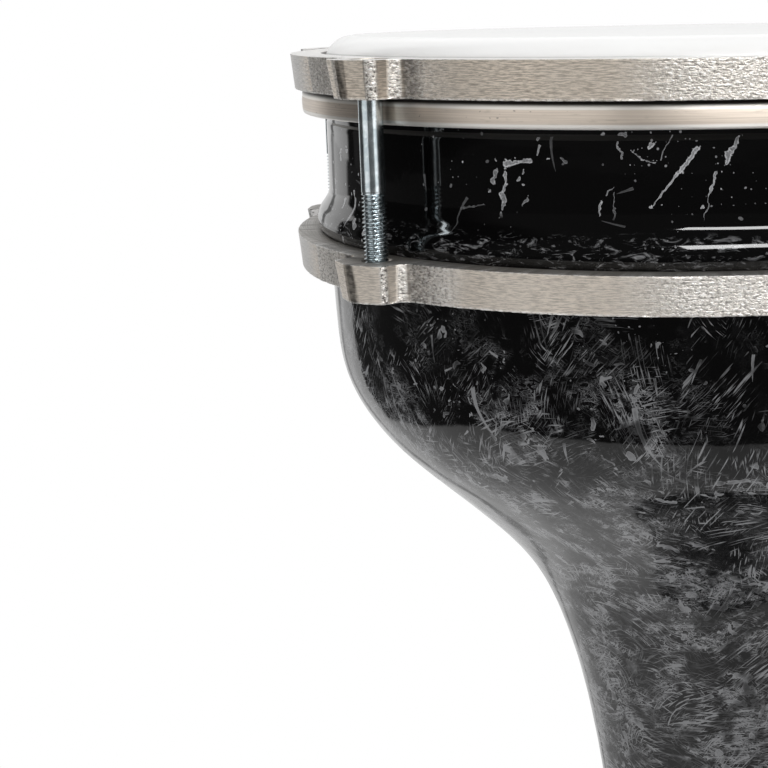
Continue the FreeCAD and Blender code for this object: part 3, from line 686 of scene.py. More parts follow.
def build_shell():
    inner = []
    for i, (hh, r) in enumerate(PROFILE):
        a, b = PROFILE[max(i - 1, 0)], PROFILE[min(i + 1, len(PROFILE) - 1)]
        dr, dh = b[1] - a[1], b[0] - a[0]
        n = math.hypot(dr, dh)
        inner.append((r + WALL * dh / n, hh - WALL * dr / n))
    outer = [(r, hh) for hh, r in PROFILE]
    H0 = -TOP
    pts = resample([(102.7, 4.4), (104.3, 4.4)], 0.8)
    pts += arc_pts(104.3, -3.1, 7.5, 90, 0, 26)[1:]
    pts += resample([(111.8, -3.1), (111.8, -18.6)], 1.6)[1:]
    pts += [(111.95, -18.85), (112.15, -19.15), (112.3, -19.4)]
    pts += resample([(112.3, -19.4), (112.3, -37.8)], 1.6)[1:]
    pts += catmull([(112.3, -37.8), (112.6, -39.7), (113.75, -41.7), (115.1, -43.7), (115.8, -46.3), (115.5, -48.5), (114.7, -49.68)], 6)[1:]
    pts += resample([(114.7, -49.68), (112.3, -49.68)], 0.8)[1:]
    pts += resample([(112.3, -49.68), (112.3, -62.0)], 1.6)[1:]
    pts += catmull(outer, 4)[1:]
    pts += resample([(82.214, -414.0), (88.0, H0 + 4.2)], 1.4)[1:]
    pts += arc_pts(86.9, H0 + 2.15, 2.3, 63, -69, 9)[1:-1]
    pts += [(87.6, H0)]
    pts += resample([(87.6, H0), (81.8, H0)], 1.5)[1:]
    pts += [(81.0, H0 + 0.25), (80.2, H0 + 0.9), (79.75, H0 + 1.75), (79.6, H0 + 2.6)]
    tail = [(79.6, H0 + 2.6)] + [inner[-1]]
    pts += resample(tail, 2.0)[1:]
    n_outer = len(pts)
    pts += catmull(inner[::-1], 3)[1:]
    pts += resample([inner[0], (107.7, -58.0)], 2.0)[1:]
    pts += resample([(107.7, -58.0), (107.7, -11.0)], 3.0)[1:]
    pts += resample([(107.7, -11.0), (101.5, -3.6)], 1.5)[1:]
    pts += resample([(101.5, -3.6), (101.5, 3.2)], 1.4)[1:]
    pts += arc_pts(102.7, 3.2, 1.2, 180, 90, 6)[1:-1]

    wave1, wave2, wave3 = grid_noise(11, 46, 60), grid_noise(12, 150, 200), grid_noise(13, 19, 22)

    def bump(th, R, H):
        # slight hand-cast waviness and runs in the lacquer; the seats that carry the hoop, film and ring stay true
        u, v = th / (2 * math.pi), -H / 426.0
        amp = sstep(-H, 56.0, 80.0) * sstep(-H, 423.0, 410.0)
        collar = sstep(-H, 20.5, 24.0) * sstep(-H, 38.5, 36.0) * 0.20
        bead = sstep(-H, 40.5, 43.0) * sstep(-H, 48.6, 47.5) * 0.55
        d = 0.10 * wave3(u, v) + 0.050 * wave1(u, v) + 0.016 * wave2(u, v)
        row = np.arange(R.shape[0])[:, None]
        outside = np.where(row < n_outer - 4, 1.0, 0.4)
        return -np.abs(d) * (amp + collar + bead) * outside, np.zeros_like(d)

    ob = lathe("goblet_shell_body", pts, 400, closed=True, bump=bump, sharp_deg=55.0)
    # bare metal inside, from the foot's inner lip to the bearing edge's inner side
    dress(ob, M_COAT, M_INSIDE)
    idx = np.zeros(len(ob.data.polygons), np.int32)
    centres = np.zeros(len(ob.data.polygons) * 3, np.float32)
    ob.data.polygons.foreach_get("center", centres)
    normals = np.zeros(len(ob.data.polygons) * 3, np.float32)
    ob.data.polygons.foreach_get("normal", normals)
    c, nn = centres.reshape(-1, 3) * 1000.0, normals.reshape(-1, 3)
    radial = (c[:, 0] * nn[:, 0] + c[:, 1] * nn[:, 1]) / np.maximum(np.hypot(c[:, 0], c[:, 1]), 1e-6)
    rr = np.hypot(c[:, 0], c[:, 1])
    hh = c[:, 2] - TOP
    pr = np.interp(-hh, [-p[0] for p in PROFILE], [p[1] for p in PROFILE])
    inside = (rr < np.where(hh > -62.0, 109.6, pr - 1.6)) & (hh < 3.0) & (hh > H0 + 4.0)
    idx[inside] = 1
    ob.data.polygons.foreach_set("material_index", idx)
    ob.data.update()
    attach(ob, "shell")
    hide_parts("goblet_shell")
    return ob


# ------------------------------------------------------------------------------------------------ rings
RING_R, RING_T, RING_DRAFT = 121.4, 9.72, 0.90
EAR_NOSE, EAR_NOSE_HALF, EAR_SHOULDER, EAR_HALF = 8.6, 1.8, 6.1, 9.7
EAR_CORNER_R, EAR_NOSE_R, EAR_FILLET_R, EAR_DRAFT = 2.4, 1.6, 3.4, 1.15


def round_corner(a, b, c, rad, n):
    a, b, c = map(np.array, (a, b, c))
    u, v = (a - b) / np.linalg.norm(a - b), (c - b) / np.linalg.norm(c - b)
    half = math.acos(max(-1.0, min(1.0, float(u @ v)))) / 2
    cut = rad / math.tan(half)
    bis = (u + v) / np.linalg.norm(u + v)
    centre = b + bis * (rad / math.sin(half))
    s, e = b + u * cut, b + v * cut
    a0, a1 = math.atan2(*(s - centre)[::-1]), math.atan2(*(e - centre)[::-1])
    d = (a1 - a0 + math.pi) % (2 * math.pi) - math.pi
    return [centre + rad * np.array([math.cos(a0 + d * t), math.sin(a0 + d * t)]) for t in np.linspace(0, 1, n)]


def seg(a, b, n):
    """n points from a to b without the ends."""
    a, b = np.array(a), np.array(b)
    return [a + (b - a) * t for t in np.linspace(0, 1, n + 2)[1:-1]]


def ring_outline(shrink_ring, shrink_ear):
    """Outline of a ring with ears. Returns points (n, 2) and each point's ear number, -1 between the ears."""
    r = RING_R - shrink_ring
    nose, shoulder = BOLT_R + EAR_NOSE - shrink_ear, BOLT_R + EAR_SHOULDER - shrink_ear
    half, nh = EAR_HALF - shrink_ear, EAR_NOSE_HALF - 0.25 * shrink_ear
    fil = EAR_FILLET_R + 0.3 * shrink_ear
    cx = half + fil
    cr = math.sqrt((r + fil) ** 2 - cx ** 2)
    ang = math.atan2(cx, cr)
    corners = [(cr, -half), (shoulder, -half), (nose, -nh), (nose, nh), (shoulder, half), (cr, half)]
    rc = [None, EAR_CORNER_R, EAR_NOSE_R, EAR_NOSE_R, EAR_CORNER_R, None]
    ns = [None, 8, 5, 5, 8, None]
    gaps = [9, 13, 6, 13, 9]
    ear = []
    # concave blend on the -t side
    def blend_pts(s):
        c2 = np.array([cr, s * cx])
        a1 = math.atan2(-s * cx + r * math.sin(s * ang), -cr + r * math.cos(ang))
        a2 = math.atan2(s * half - s * cx, 0.0)
        d = (a2 - a1 + math.pi) % (2 * math.pi) - math.pi
        return [c2 + fil * np.array([math.cos(a1 + d * t), math.sin(a1 + d * t)]) for t in np.linspace(0, 1, 13)]
    ear += blend_pts(-1)
    prev = ear[-1]
    for i in range(1, 5):
        arc = round_corner(corners[i - 1], corners[i], corners[i + 1], rc[i], ns[i])
        ear += seg(prev, arc[0], gaps[i - 1])
        ear += arc
        prev = arc[-1]
    other = blend_pts(1)[::-1]
    ear += seg(prev, other[0], gaps[4])
    ear += other
    ear = np.array(ear)
    n_arc = 176
    pts, which = [], []
    for k in range(LUGS):
        a = math.radians(60.0 * k)
        e, t = np.array([math.cos(a), math.sin(a)]), np.array([-math.sin(a), math.cos(a)])
        pts += list(ear[:, :1] * e + ear[:, 1:] * t)
        which += [k] * len(ear)
        a0, a1 = a + ang, a + math.radians(60.0) - ang
        for s in np.linspace(a0, a1, n_arc + 2)[1:-1]:
            pts.append(np.array([r * math.cos(s), r * math.sin(s)]))
        which += [-1] * n_arc
    return np.array(pts), np.array(which)


def outline_normals(p):
    d = np.roll(p, -1, 0) - np.roll(p, 1, 0)
    n = np.stack([d[:, 1], -d[:, 0]], -1)
    return n / np.linalg.norm(n, axis=1)[:, None]


def seen_x(x, y, h):
    """Where a point falls across the viewer's field, to keep the rough patches, their painted glints and the painted
    dark reflections in their places.
    """
    c, s = math.cos(-TURN), math.sin(-TURN)
    X, Y = x * c - y * s, x * s + y * c
    return 714.66 + 1667.97 * X / (Y + 496.7)


def build_ring(name, node, body, h_top, bore_r, upper):
    top, which = ring_outline(0.0, 0.0)
    bot, _ = ring_outline(RING_DRAFT, EAR_DRAFT)
    n = len(top)
    d = np.linalg.norm(np.roll(top, -1, 0) - top, axis=1)
    arc = np.concatenate([[0], np.cumsum(d)[:-1]])
    total = d.sum()
    u = arc / total
    seed = 21 if upper else 31
    saw, mid, pit, burr = grid_noise(seed, 90, 60), grid_noise(seed + 1, 420, 12), grid_noise(seed + 2, 900, 22), grid_noise(seed + 3, 700, 1)
    # per-ear coordinate across the viewer's field, the same marks on every ear
    ang = np.arctan2(top[:, 1], top[:, 0])
    rel = np.degrees((ang + math.pi / 6) % (math.pi / 3) - math.pi / 6)         # -30..30 degrees about the nearest ear
    a5 = math.radians(240.0)
    like = np.stack([np.hypot(*top.T) * np.cos(np.radians(rel) + a5), np.hypot(*top.T) * np.sin(np.radians(rel) + a5)], -1)
    px = seen_x(like[:, 0], like[:, 1], 0.0)
    on_ear = which >= 0

    rows = []       # (height below the top face, how far inside the outline)
    e = 0.28
    rows = [(e * (1 - math.cos(math.radians(t))), e * (1 - math.sin(math.radians(t)))) for t in np.linspace(0, 90, 5)]
    for hh in np.linspace(e, RING_T - e, 25)[1:-1]:
        rows.append((hh, 0.0))
    rows += [(RING_T - e * (1 - math.cos(math.radians(t))), e * (1 - math.sin(math.radians(t)))) for t in np.linspace(90, 0, 5)]
    R = len(rows)
    verts = np.zeros((R, n, 3))
    rough = np.zeros((R, n))
    painted_shade = np.zeros((R, n))
    edge = np.zeros((R, n))
    for i, (hh, ins) in enumerate(rows):
        f = hh / RING_T
        p = top * (1 - f) + bot * f
        nrm = outline_normals(p)
        v = np.full(n, hh / RING_T)
        # rough patches where the casting skin is broken: beside the ears, along the lower edge and in places round the
        # ring; the material gives them painted glints. The dk marks beside the ears are painted dark reflections.
        strip = np.zeros(n)
        dk = np.zeros(n)
        if upper:
            strip = np.maximum(strip, sstep(px, 365, 368) * sstep(px, 381, 378))
            strip = np.maximum(strip, sstep(px, 390, 392.5) * sstep(px, 405, 402) * 0.9)
            strip = np.maximum(strip, sstep(px, 405, 408) * sstep(px, 440, 418) * 0.85)
            dk = np.maximum(dk, sstep(px, 333, 336) * sstep(px, 342 + 5 * f, 339 + 5 * f) * 0.9)
            dk = np.maximum(dk, sstep(px, 403, 405) * sstep(px, 430, 414) * 0.80)
        else:
            strip = np.maximum(strip, sstep(px, 373, 375) * sstep(px, 384, 381))
            strip = np.maximum(strip, sstep(px, 392, 394) * sstep(px, 403, 400) * 0.9)
            strip = np.maximum(strip, sstep(px, 402, 406) * sstep(px, 465, 430) * 0.9)
            dk = np.maximum(dk, sstep(px, 339, 341) * sstep(px, 348 + 3 * f, 345 + 3 * f) * 0.9)
            dk = np.maximum(dk, sstep(px, 401, 403) * sstep(px, 446, 411) * 0.72)
        strip = np.where(on_ear | (np.abs(rel) < 14), strip, 0)
        dk = np.where(on_ear | (np.abs(rel) < 14), dk, 0)
        round_ring = np.where(on_ear, 0.0, sstep(saw(u * 3.0 % 1.0, v), 0.15, 0.6) * 0.45)
        # rough patches on the front between the ears, most on the viewer's right, where their painted glints and
        # lighter grey make a painted highlight
        X = seen_x(top[:, 0], top[:, 1], 0.0)
        front = np.where((top[:, 0] * math.sin(-TURN) + top[:, 1] * math.cos(-TURN)) < -60, 1.0, 0.0)
        round_ring = np.where((front > 0.5) & ~on_ear, sstep(X, 600, 700) * 0.85 + sstep(X, 470, 405) * 0.6, round_ring)
        # the viewer's left end of the front: rough patches with painted glints and a painted dark reflection
        left_end = (front > 0.5) & ~on_ear & (X < 332)
        round_ring = np.where(left_end, 0.85 * sstep(X, 303, 308), round_ring)
        dk = np.where(left_end, (0.42 if upper else 0.15) * sstep(X, 304, 312) * sstep(X, 331, 324), dk)
        lower_edge = sstep(f, 0.93, 1.0) * 0.8
        # painted highlights along the bottom and top edges, kept in the edge attribute
        edge[i] = np.maximum(sstep(f, 0.955, 0.985), sstep(f, 0.03, 0.01) * 0.8) * (0.55 + 0.45 * burr(u, 0 * u))
        r_here = np.clip(np.maximum(np.maximum(strip, round_ring), lower_edge), 0, 1)
        rough[i], painted_shade[i] = r_here, dk * (0.5 + 0.5 * sstep(pit(u, v), -0.5, 0.3))
        move = 0.035 * saw(u * 5.0 % 1.0, v) + 0.03 * mid(u, v)
        move += r_here * (0.16 * pit(u, v) + 0.05 * mid(u * 2 % 1.0, v))
        edge_burr = (sstep(f, 0.955, 1.0) + 0.6 * sstep(f, 0.04, 0.0)) * 0.16 * np.maximum(burr(u, 0 * u), -0.3)
        off = -ins - np.abs(move) * 0.8 + edge_burr
        q = p + nrm * off[:, None]
        zz = TOP + h_top - hh + 0.10 * np.minimum(burr(u * 2 % 1.0, 0 * u + 1), 0) * sstep(f, 0.97, 1.0) * -1.0
        verts[i, :, :2] = q
        verts[i, :, 2] = np.clip(zz, TOP + h_top - RING_T, TOP + h_top)
    verts = list(verts.reshape(-1, 3))
    arc_a = list(np.tile(arc, R))
    rough_and_glint_a, painted_shade_a, painted_edge_highlight_a = list(rough.ravel()), list(painted_shade.ravel()), list(edge.ravel())
    faces4 = [grid_faces(R, n, flip=True)]

    def add_loop(c, rad, h, k=64, a0=0.0, rg=0.0, dk=0.0):
        start = len(verts)
        for t in np.arange(k) * 2 * math.pi / k + a0:
            verts.append(np.array([c[0] + rad * math.cos(t), c[1] + rad * math.sin(t), TOP + h]))
            arc_a.append(rad * t)
            rough_and_glint_a.append(rg)
            painted_shade_a.append(dk)
            painted_edge_highlight_a.append(0.0)
        return np.arange(start, start + k)

    def bridge(l1, l2, flip=False):
        a, b = l1, np.roll(l1, -1)
        c, dd = np.roll(l2, -1), l2
        q = np.stack([a, b, c, dd], -1)
        faces4.append(q[:, ::-1] if flip else q)

    hb = h_top - RING_T
    segs = 360
    ch = 0.4 if upper else 0.25
    loops = [add_loop((0, 0), bore_r + ch, h_top, segs)]
    for t in (0.33, 0.66, 1.0):
        loops.append(add_loop((0, 0), bore_r + ch * (1 - math.sin(math.radians(90 * t))), h_top - ch * (1 - math.cos(math.radians(90 * t))), segs))
    # the bore wall carries painted shadow
    for hh in np.linspace(h_top - ch, hb + 0.2, 8)[1:]:
        loops.append(add_loop((0, 0), bore_r, hh, segs, dk=0.75 if upper else 0.3))
    loops.append(add_loop((0, 0), bore_r + 0.2, hb, segs))
    for l1, l2 in zip(loops[:-1], loops[1:]):
        bridge(l1, l2)
    top_rims, bottom_rims = [loops[0]], [loops[-1]]
    for k in range(LUGS):
        a = math.radians(60.0 * k)
        c = (BOLT_R * math.cos(a), BOLT_R * math.sin(a))
        # the bolt holes' walls carry painted shade (the last number of each step)
        if upper:
            steps = [(5.65, h_top, 0.2, 0.0), (5.5, h_top - 0.15, 0.1, 0.1), (5.5, h_top - 3.5, 0.05, 0.35), (5.5, h_top - 6.9, 0.0, 0.6),
                     (5.4, h_top - 7.0, 0.0, 0.6), (3.5, h_top - 7.0, 0.0, 0.6), (3.2, h_top - 7.2, 0.0, 0.7), (3.2, hb + 0.2, 0.0, 0.7), (3.4, hb, 0.1, 0.2)]
        else:
            steps = [(3.75, h_top, 0.2, 0.0), (3.15, h_top - 0.6, 0.1, 0.3), (3.06, h_top - 0.75, 0.0, 0.6), (3.06, hb + 0.25, 0.0, 0.7), (3.3, hb, 0.1, 0.3)]
        ls = [add_loop(c, r, hh, 56, rg=rg, dk=dk) for r, hh, rg, dk in steps]
        for l1, l2 in zip(ls[:-1], ls[1:]):
            bridge(l1, l2)
        top_rims.append(ls[0])
        bottom_rims.append(ls[-1])

    # flat faces with their holes
    def fill(outer, rims, z):
        bm = bmesh.new()
        back = {}
        edges = []
        for loop in [outer] + rims:
            vs = []
            for i in loop:
                w = bm.verts.new((verts[i][0] * 0.001, verts[i][1] * 0.001, 0.0))
                back[w] = i
                vs.append(w)
            for a, b in zip(vs, vs[1:] + vs[:1]):
                edges.append(bm.edges.new((a, b)))
        bmesh.ops.triangle_fill(bm, use_beauty=True, use_dissolve=False, edges=edges, normal=(0, 0, 1))
        tri = []
        for f in bm.faces:
            ids = [back[w] for w in f.verts]
            cxy = np.mean([verts[i][:2] for i in ids], axis=0)
            for j in range(1, len(ids) - 1):
                tri.append((ids[0], ids[j], ids[j + 1]))
        bm.free()
        return np.array(tri)

    t1 = fill(np.arange(n), top_rims, 0)
    t2 = fill(np.arange((R - 1) * n, R * n), bottom_rims, 1)
    ob = make_object(name, np.array(verts), faces4 + [t1, t2], sharp_deg=32.0,
                     attrs={"arc": arc_a, "rough": rough_and_glint_a, "painted_shade": painted_shade_a, "edge": painted_edge_highlight_a})
    fix_normals(ob)
    ob.data.set_sharp_from_angle(angle=math.radians(32.0))
    dress(ob, M_RING)
    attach(ob, body)
    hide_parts(node)
    return ob


# ------------------------------------------------------------------------------------------------ hoop and film
def build_hoop():
    HIB, HOB, HT, HB, W = 112.60, 118.65, -9.74, -16.45, 0.85
    pts = arc_pts(HOB - 1.5, HT - 1.5, 1.5, 90, 0, 12)
    mid = (HT + HB) / 2
    for t in np.linspace(0, 1, 8)[1:]:
        hh = (HT - 1.5) * (1 - t) + (HB + 0.7) * t
        pts.append((HOB + 0.12 * (1 - (2 * t - 1) ** 2), hh))
    pts += arc_pts(HOB - 0.7, HB + 0.7, 0.7, 0, -90, 9)[1:]
    pts += resample([(HOB - 0.7, HB), (HIB + 0.9, HB)], 1.2)[1:]
    pts += arc_pts(HIB + 0.9, HB + 0.9, 0.9, -90, -180, 8)[1:]
    pts += resample([(HIB, HB + 0.9), (HIB, HT - 1.65)], 1.4)[1:]
    pts += arc_pts(HIB + W / 2, HT - 1.65, W / 2, 180, 0, 9)[1:]
    pts += resample([(HIB + W, HT - 1.65), (HIB + W, HB + W)], 1.4)[1:]
    pts += resample([(HIB + W, HB + W), (HOB - W - 0.5, HB + W)], 1.2)[1:]
    pts += arc_pts(HOB - W - 0.5, HB + W + 0.5, 0.5, -90, 0, 6)[1:]
    pts += resample([(HOB - W, HB + W + 0.5), (HOB - W, HT - 0.85)], 1.4)[1:]
    pts += [(HOB - 1.2, HT - 0.86), (HOB - 1.9, HT - 0.65), (HOB - 2.3, HT - 0.6), (HOB - 2.3, HT)]
    w1, w2 = grid_noise(41, 60, 3), grid_noise(42, 260, 4)

    def bump(th, R, H):
        u, v = th / (2 * math.pi), (HT - H) / (HT - HB)
        d = 0.045 * np.abs(w1(u, v)) + 0.02 * np.abs(w2(u, v))
        outside = (R > HOB - 0.9).astype(float)
        return -d * outside, np.zeros_like(d)
    ob = lathe("flesh_hoop_rolled", pts, 360, closed=True, bump=bump, sharp_deg=50.0)
    dress(ob, M_HOOP)
    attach(ob, "head_frame")
    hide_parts("flesh_hoop")
    return ob


def offset_line(points, d):
    out = []
    for i in range(len(points)):
        a, b = points[max(i - 1, 0)], points[min(i + 1, len(points) - 1)]
        dr, dh = b[0] - a[0], b[1] - a[1]
        n = math.hypot(dr, dh)
        out.append((points[i][0] - d * dh / n, points[i][1] + d * dr / n))
    return out


def build_film():
    T, G = 0.25, 0.02
    fin, fout = 111.8 + G, 111.8 + G + T
    tail = [(fin + T / 2, -8.6), (fin + T / 2 + 0.03, -9.3), (fin + T / 2 + 0.28, -9.95), (112.75, -10.45), (113.35, -10.78), (113.85, -11.35),
            (114.02, -12.1), (114.05, -13.2), (114.35, -14.15), (115.3, -14.5), (116.6, -14.55)]
    left, right = offset_line(tail, T / 2), offset_line(tail, -T / 2)
    left[0], right[0] = (fout, -8.6), (fin, -8.6)
    flat = 4.4 + G
    radii = list(np.linspace(1.5, 96, 34)) + list(np.linspace(97, 104.3, 8))
    upper = [(r, flat + T) for r in radii]
    upper += arc_pts(104.3, -3.1, 7.5 + G + T, 90, 0, 28)[1:]
    upper += resample([(fout, -3.1), (fout, -8.6)], 0.7)[1:]
    upper += catmull(left, 4)[1:]
    lower = [(r, flat) for r in radii]
    lower += arc_pts(104.3, -3.1, 7.5 + G, 90, 0, 28)[1:]
    lower += resample([(fin, -3.1), (fin, -8.6)], 0.7)[1:]
    lower += catmull(right, 4)[1:]
    pts = upper + lower[::-1]
    ob = lathe("drum_head_film", pts, 320, closed=False, sharp_deg=50.0)
    dress(ob, M_FILM)
    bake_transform(ob)
    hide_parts("drum_head")
    return ob


# ------------------------------------------------------------------------------------------------ bolts
def build_bolt(k):
    """M6 x 50 socket head cap screw as one closed grid of loops, from the socket's bottom over the head, shank and thread to the tip."""
    seat, hh, L, run, pitch = -7.0, 6.0, 50.0, 26.0, 1.0
    cols = 96
    th = np.arange(cols) * 2 * math.pi / cols
    hexr = (5.0 / 2) / np.cos((th + math.pi / 6) % (math.pi / 3) - math.pi / 6)
    loops = []          # (radius array, height array, shade)

    def ring(r, z, shade=0.0):
        loops.append((np.broadcast_to(np.asarray(r, float), (cols,)).copy(), np.broadcast_to(np.asarray(z, float), (cols,)).copy(), shade))
    top = seat + hh
    ring(0.25, top - 4.15, 1.0)
    ring(1.2, top - 3.6, 1.0)
    ring(2.3, top - 3.1, 1.0)
    ring(hexr * 0.985, top - 3.0, 0.95)
    for z in (2.4, 1.6, 0.9):
        ring(hexr, top - z, 0.75)
    ring(hexr, top - 0.42, 0.45)
    ring(np.maximum(hexr, 2.72), top - 0.25, 0.3)
    ring(np.maximum(hexr + 0.22, 3.05), top, 0.1)
    ring(3.6, top, 0.0)
    ring(4.3, top, 0.0)
    ring(4.42, top - 0.02, 0.0)
    ring(4.72, top - 0.16, 0.0)
    ring(4.93, top - 0.48, 0.0)
    # straight knurl: fine vertical grooves
    kn = 0.085 * (0.5 + 0.5 * np.cos(th * 48))
    ring(4.98 - 0.02, top - 0.62, 0.1)
    for z in np.linspace(0.85, 5.2, 7):
        ring(4.98 - kn, top - z, 0.30)
    ring(4.95, top - 5.55, 0.1)
    ring(4.85, top - 5.82, 0.1)
    ring(4.70, seat + 0.02, 0.2)
    ring(3.4, seat + 0.02, 0.5)
    ring(3.10, seat, 0.5)
    ring(2.985, seat - 0.3, 0.2)
    for z in np.linspace(1.0, run - 0.6, 10):
        ring(2.975, seat - z, 0.0)
    # thread: right-hand, 60 degree flanks with rounded crests and roots
    z0, z1 = seat - run + 0.4, seat - L
    steps = int((z0 - z1 - 0.05) / 0.075)
    for z in np.linspace(z0, z1 + 0.05, steps):
        ph = ((z / pitch) - th / (2 * math.pi)) % 1.0
        tri = np.abs(ph - 0.5) * 2.0                      # 0 at the middle of a crest, 1 in the root
        w = np.clip((tri - 0.13) / 0.70, 0, 1)
        w = w * w * (3 - 2 * w) * 0.35 + w * 0.65
        r = 2.975 * (1 - w) + 2.42 * w
        start_fade = np.clip((z0 - z) / 1.1, 0, 1)
        r = 2.975 * (1 - start_fade) + r * start_fade
        tip = np.clip((z - z1) / 0.75, 0, 1)
        r = np.minimum(r, 1.85 + 1.15 * tip)
        ring(r, z, 0.0)
    ring(1.80, z1 + 0.012, 0.0)
    ring(0.9, z1, 0.0)
    ring(0.25, z1, 0.0)
    R = np.array([l[0] for l in loops])
    Z = np.array([l[1] for l in loops])
    S = np.repeat(np.array([l[2] for l in loops])[:, None], cols, 1)
    # painted shade in the thread's root
    S = np.maximum(S, np.clip((2.80 - R) / 0.4, 0, 1) * ((Z < z0) & (Z > z1 + 0.8)) * 0.55)
    a = math.radians(60.0 * k)
    spin = a + 0.35 + 0.9 * k
    X = R * np.cos(th + spin)
    Y = R * np.sin(th + spin)
    verts = np.stack([X + BOLT_R * math.cos(a), Y + BOLT_R * math.sin(a), Z + TOP], -1).reshape(-1, 3)
    n = len(verts)
    rows = len(loops)
    c0 = np.array([BOLT_R * math.cos(a), BOLT_R * math.sin(a), Z[0].mean() + TOP])
    c1 = np.array([BOLT_R * math.cos(a), BOLT_R * math.sin(a), Z[-1].mean() + TOP])
    verts = np.vstack([verts, c0, c1])
    j = np.arange(cols)
    cap0 = np.stack([np.full(cols, n), (j + 1) % cols, j], -1)
    cap1 = np.stack([np.full(cols, n + 1), (rows - 1) * cols + j, (rows - 1) * cols + (j + 1) % cols], -1)
    shade = np.concatenate([S.ravel(), [1.0, 0.0]])
    ob = make_object("tension_bolt_%d_screw" % (k + 1), verts, [grid_faces(rows, cols), cap0, cap1], sharp_deg=38.0, attrs={"shade": shade})
    fix_normals(ob)
    ob.data.set_sharp_from_angle(angle=math.radians(38.0))
    dress(ob, M_ZINC)
    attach(ob, "bolt_%d" % (k + 1))
    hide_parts("tension_bolt_%d" % (k + 1))
    return ob


build_shell()
build_ring("tension_ring_cast", "tension_ring", "head_frame", 0.0, 113.0, True)
build_ring("counter_ring_cast", "counter_ring", "shell", -49.70, 112.72, False)
build_hoop()
build_film()
for k in range(LUGS):
    build_bolt(k)
dress(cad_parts["hoop_resin"], M_RESIN)


# ------------------------------------------------------------------------------------------------ studio
def studio_axes(g, vec):
    """Right, forward and up as the viewer has them."""
    x, y, z = g.split(vec)
    return x * cs + y * sn, y * cs - x * sn, z


def build_world():
    w = bpy.data.worlds.new("studio")
    bpy.context.scene.world = w
    w.use_nodes = True
    t = w.node_tree
    t.nodes.clear()
    g = Graph(t)
    tc = g.node("ShaderNodeTexCoord")
    d = g.v("NORMALIZE", Sock(g, tc.outputs["Generated"]))
    right, fwd, up = studio_axes(g, d)
    az = g.m("MULTIPLY", g.m("ARCTAN2", g.m("ABSOLUTE", right), fwd), 57.29578)
    panel = g.step(az, 50.0, 47.5)
    front = g.step(az, 100.0, 125.0, 0.018, 0.075)
    side = g.mixf(panel, front, g.step(az, 10.0, 40.0, 0.80, 0.98))
    # a seam in the sweep and the edge of a stand beyond it
    side = side * (1.0 - g.step(az, 29.0, 30.5) * g.step(az, 34.5, 33.0) * 0.72) + g.step(az, 53.0, 54.5) * g.step(az, 64.0, 60.0) * 0.055
    glossy = side
    lp = g.node("ShaderNodeLightPath")
    cam, gl = Sock(g, lp.outputs["Is Camera Ray"]), Sock(g, lp.outputs["Is Glossy Ray"])
    diffuse = g.lin(up, -1.0, 1.0, 0.42, 0.42)
    e = g.mixf(gl, diffuse, glossy)
    e = g.mixf(cam, e, 1.0)
    bg = g.node("ShaderNodeBackground")
    g.put(bg.inputs["Color"], (1.0, 1.0, 1.0, 1.0))
    g.put(bg.inputs["Strength"], e)
    out = g.node("ShaderNodeOutputWorld")
    t.links.new(bg.outputs[0], out.inputs[0])


def build_floor():
    s = 4.0
    n = 48
    xs = np.linspace(-s, s, n + 1)
    X, Y = np.meshgrid(xs, xs, indexing="ij")
    verts = np.stack([X, Y, np.zeros_like(X)], -1).reshape(-1, 3) * 1000.0
    ob = make_object("floor", verts, [grid_faces(n + 1, n + 1, wrap_cols=False, flip=True)], sharp_deg=None)
    ob.location.z = -0.00005
    m = bpy.data.materials.new("pale_floor")
    m.use_nodes = True
    t = m.node_tree
    t.nodes.clear()
    g = Graph(t)
    tc = g.node("ShaderNodeNewGeometry")
    P = Sock(g, tc.outputs["Position"])
    right, fwd, up = studio_axes(g, P)
    rad = g.m("SQRT", right * right + fwd * fwd)
    grain = g.noise(P, scale=60.0, detail=3.0)
    dif = g.node("ShaderNodeBsdfDiffuse")
    g.put(dif.inputs["Color"], g.mix(grain, (0.88, 0.88, 0.875), (0.92, 0.92, 0.915)))
    # far away the sweep is evenly white
    em = g.node("ShaderNodeEmission")
    g.put(em.inputs["Strength"], 1.0)
    far = g.step(rad, 0.10, 0.425)
    # light coming back up from the sweep keeps the floor near the foot pale
    bounce = g.node("ShaderNodeEmission")
    g.put(bounce.inputs["Strength"], 0.25)
    both = g.node("ShaderNodeAddShader")
    t.links.new(dif.outputs[0], both.inputs[0])
    t.links.new(bounce.outputs[0], both.inputs[1])
    mixc = g.node("ShaderNodeMixShader")
    g.put(mixc.inputs[0], far)
    t.links.new(both.outputs[0], mixc.inputs[1])
    t.links.new(em.outputs[0], mixc.inputs[2])
    # what the lacquer mirrors: a lit table with an edge, and the sweep behind
    er, ef = g.m("MINIMUM", right, 0.0) / 0.50, g.m("MINIMUM", fwd, 0.0) / 0.345
    table = g.step(g.m("SQRT", er * er + ef * ef), 1.03, 0.97) * (1.0 - g.step(right, -0.12, 0.02) * 0.28)
    az = g.m("MULTIPLY", g.m("ARCTAN2", g.m("ABSOLUTE", right), fwd), 57.29578)
    wedge = g.step(az, 50.0, 47.0) * g.step(rad, 0.1, 0.3)
    lit = g.m("MAXIMUM", table * 0.66, wedge * 0.80) * (1.0 - g.step(az, 29.0, 30.5) * g.step(az, 34.5, 33.0) * 0.5)
    near = g.step(rad, 0.0885, 0.105, 0.60, 1.0)
    ge = g.m("MAXIMUM", lit * near, 0.05)
    em2 = g.node("ShaderNodeEmission")
    g.put(em2.inputs["Strength"], ge)
    lp = g.node("ShaderNodeLightPath")
    mixg = g.node("ShaderNodeMixShader")
    g.put(mixg.inputs[0], Sock(g, lp.outputs["Is Glossy Ray"]))
    t.links.new(mixc.outputs[0], mixg.inputs[1])
    t.links.new(em2.outputs[0], mixg.inputs[2])
    out = g.node("ShaderNodeOutputMaterial")
    t.links.new(mixg.outputs[0], out.inputs[0])
    dress(ob, m)


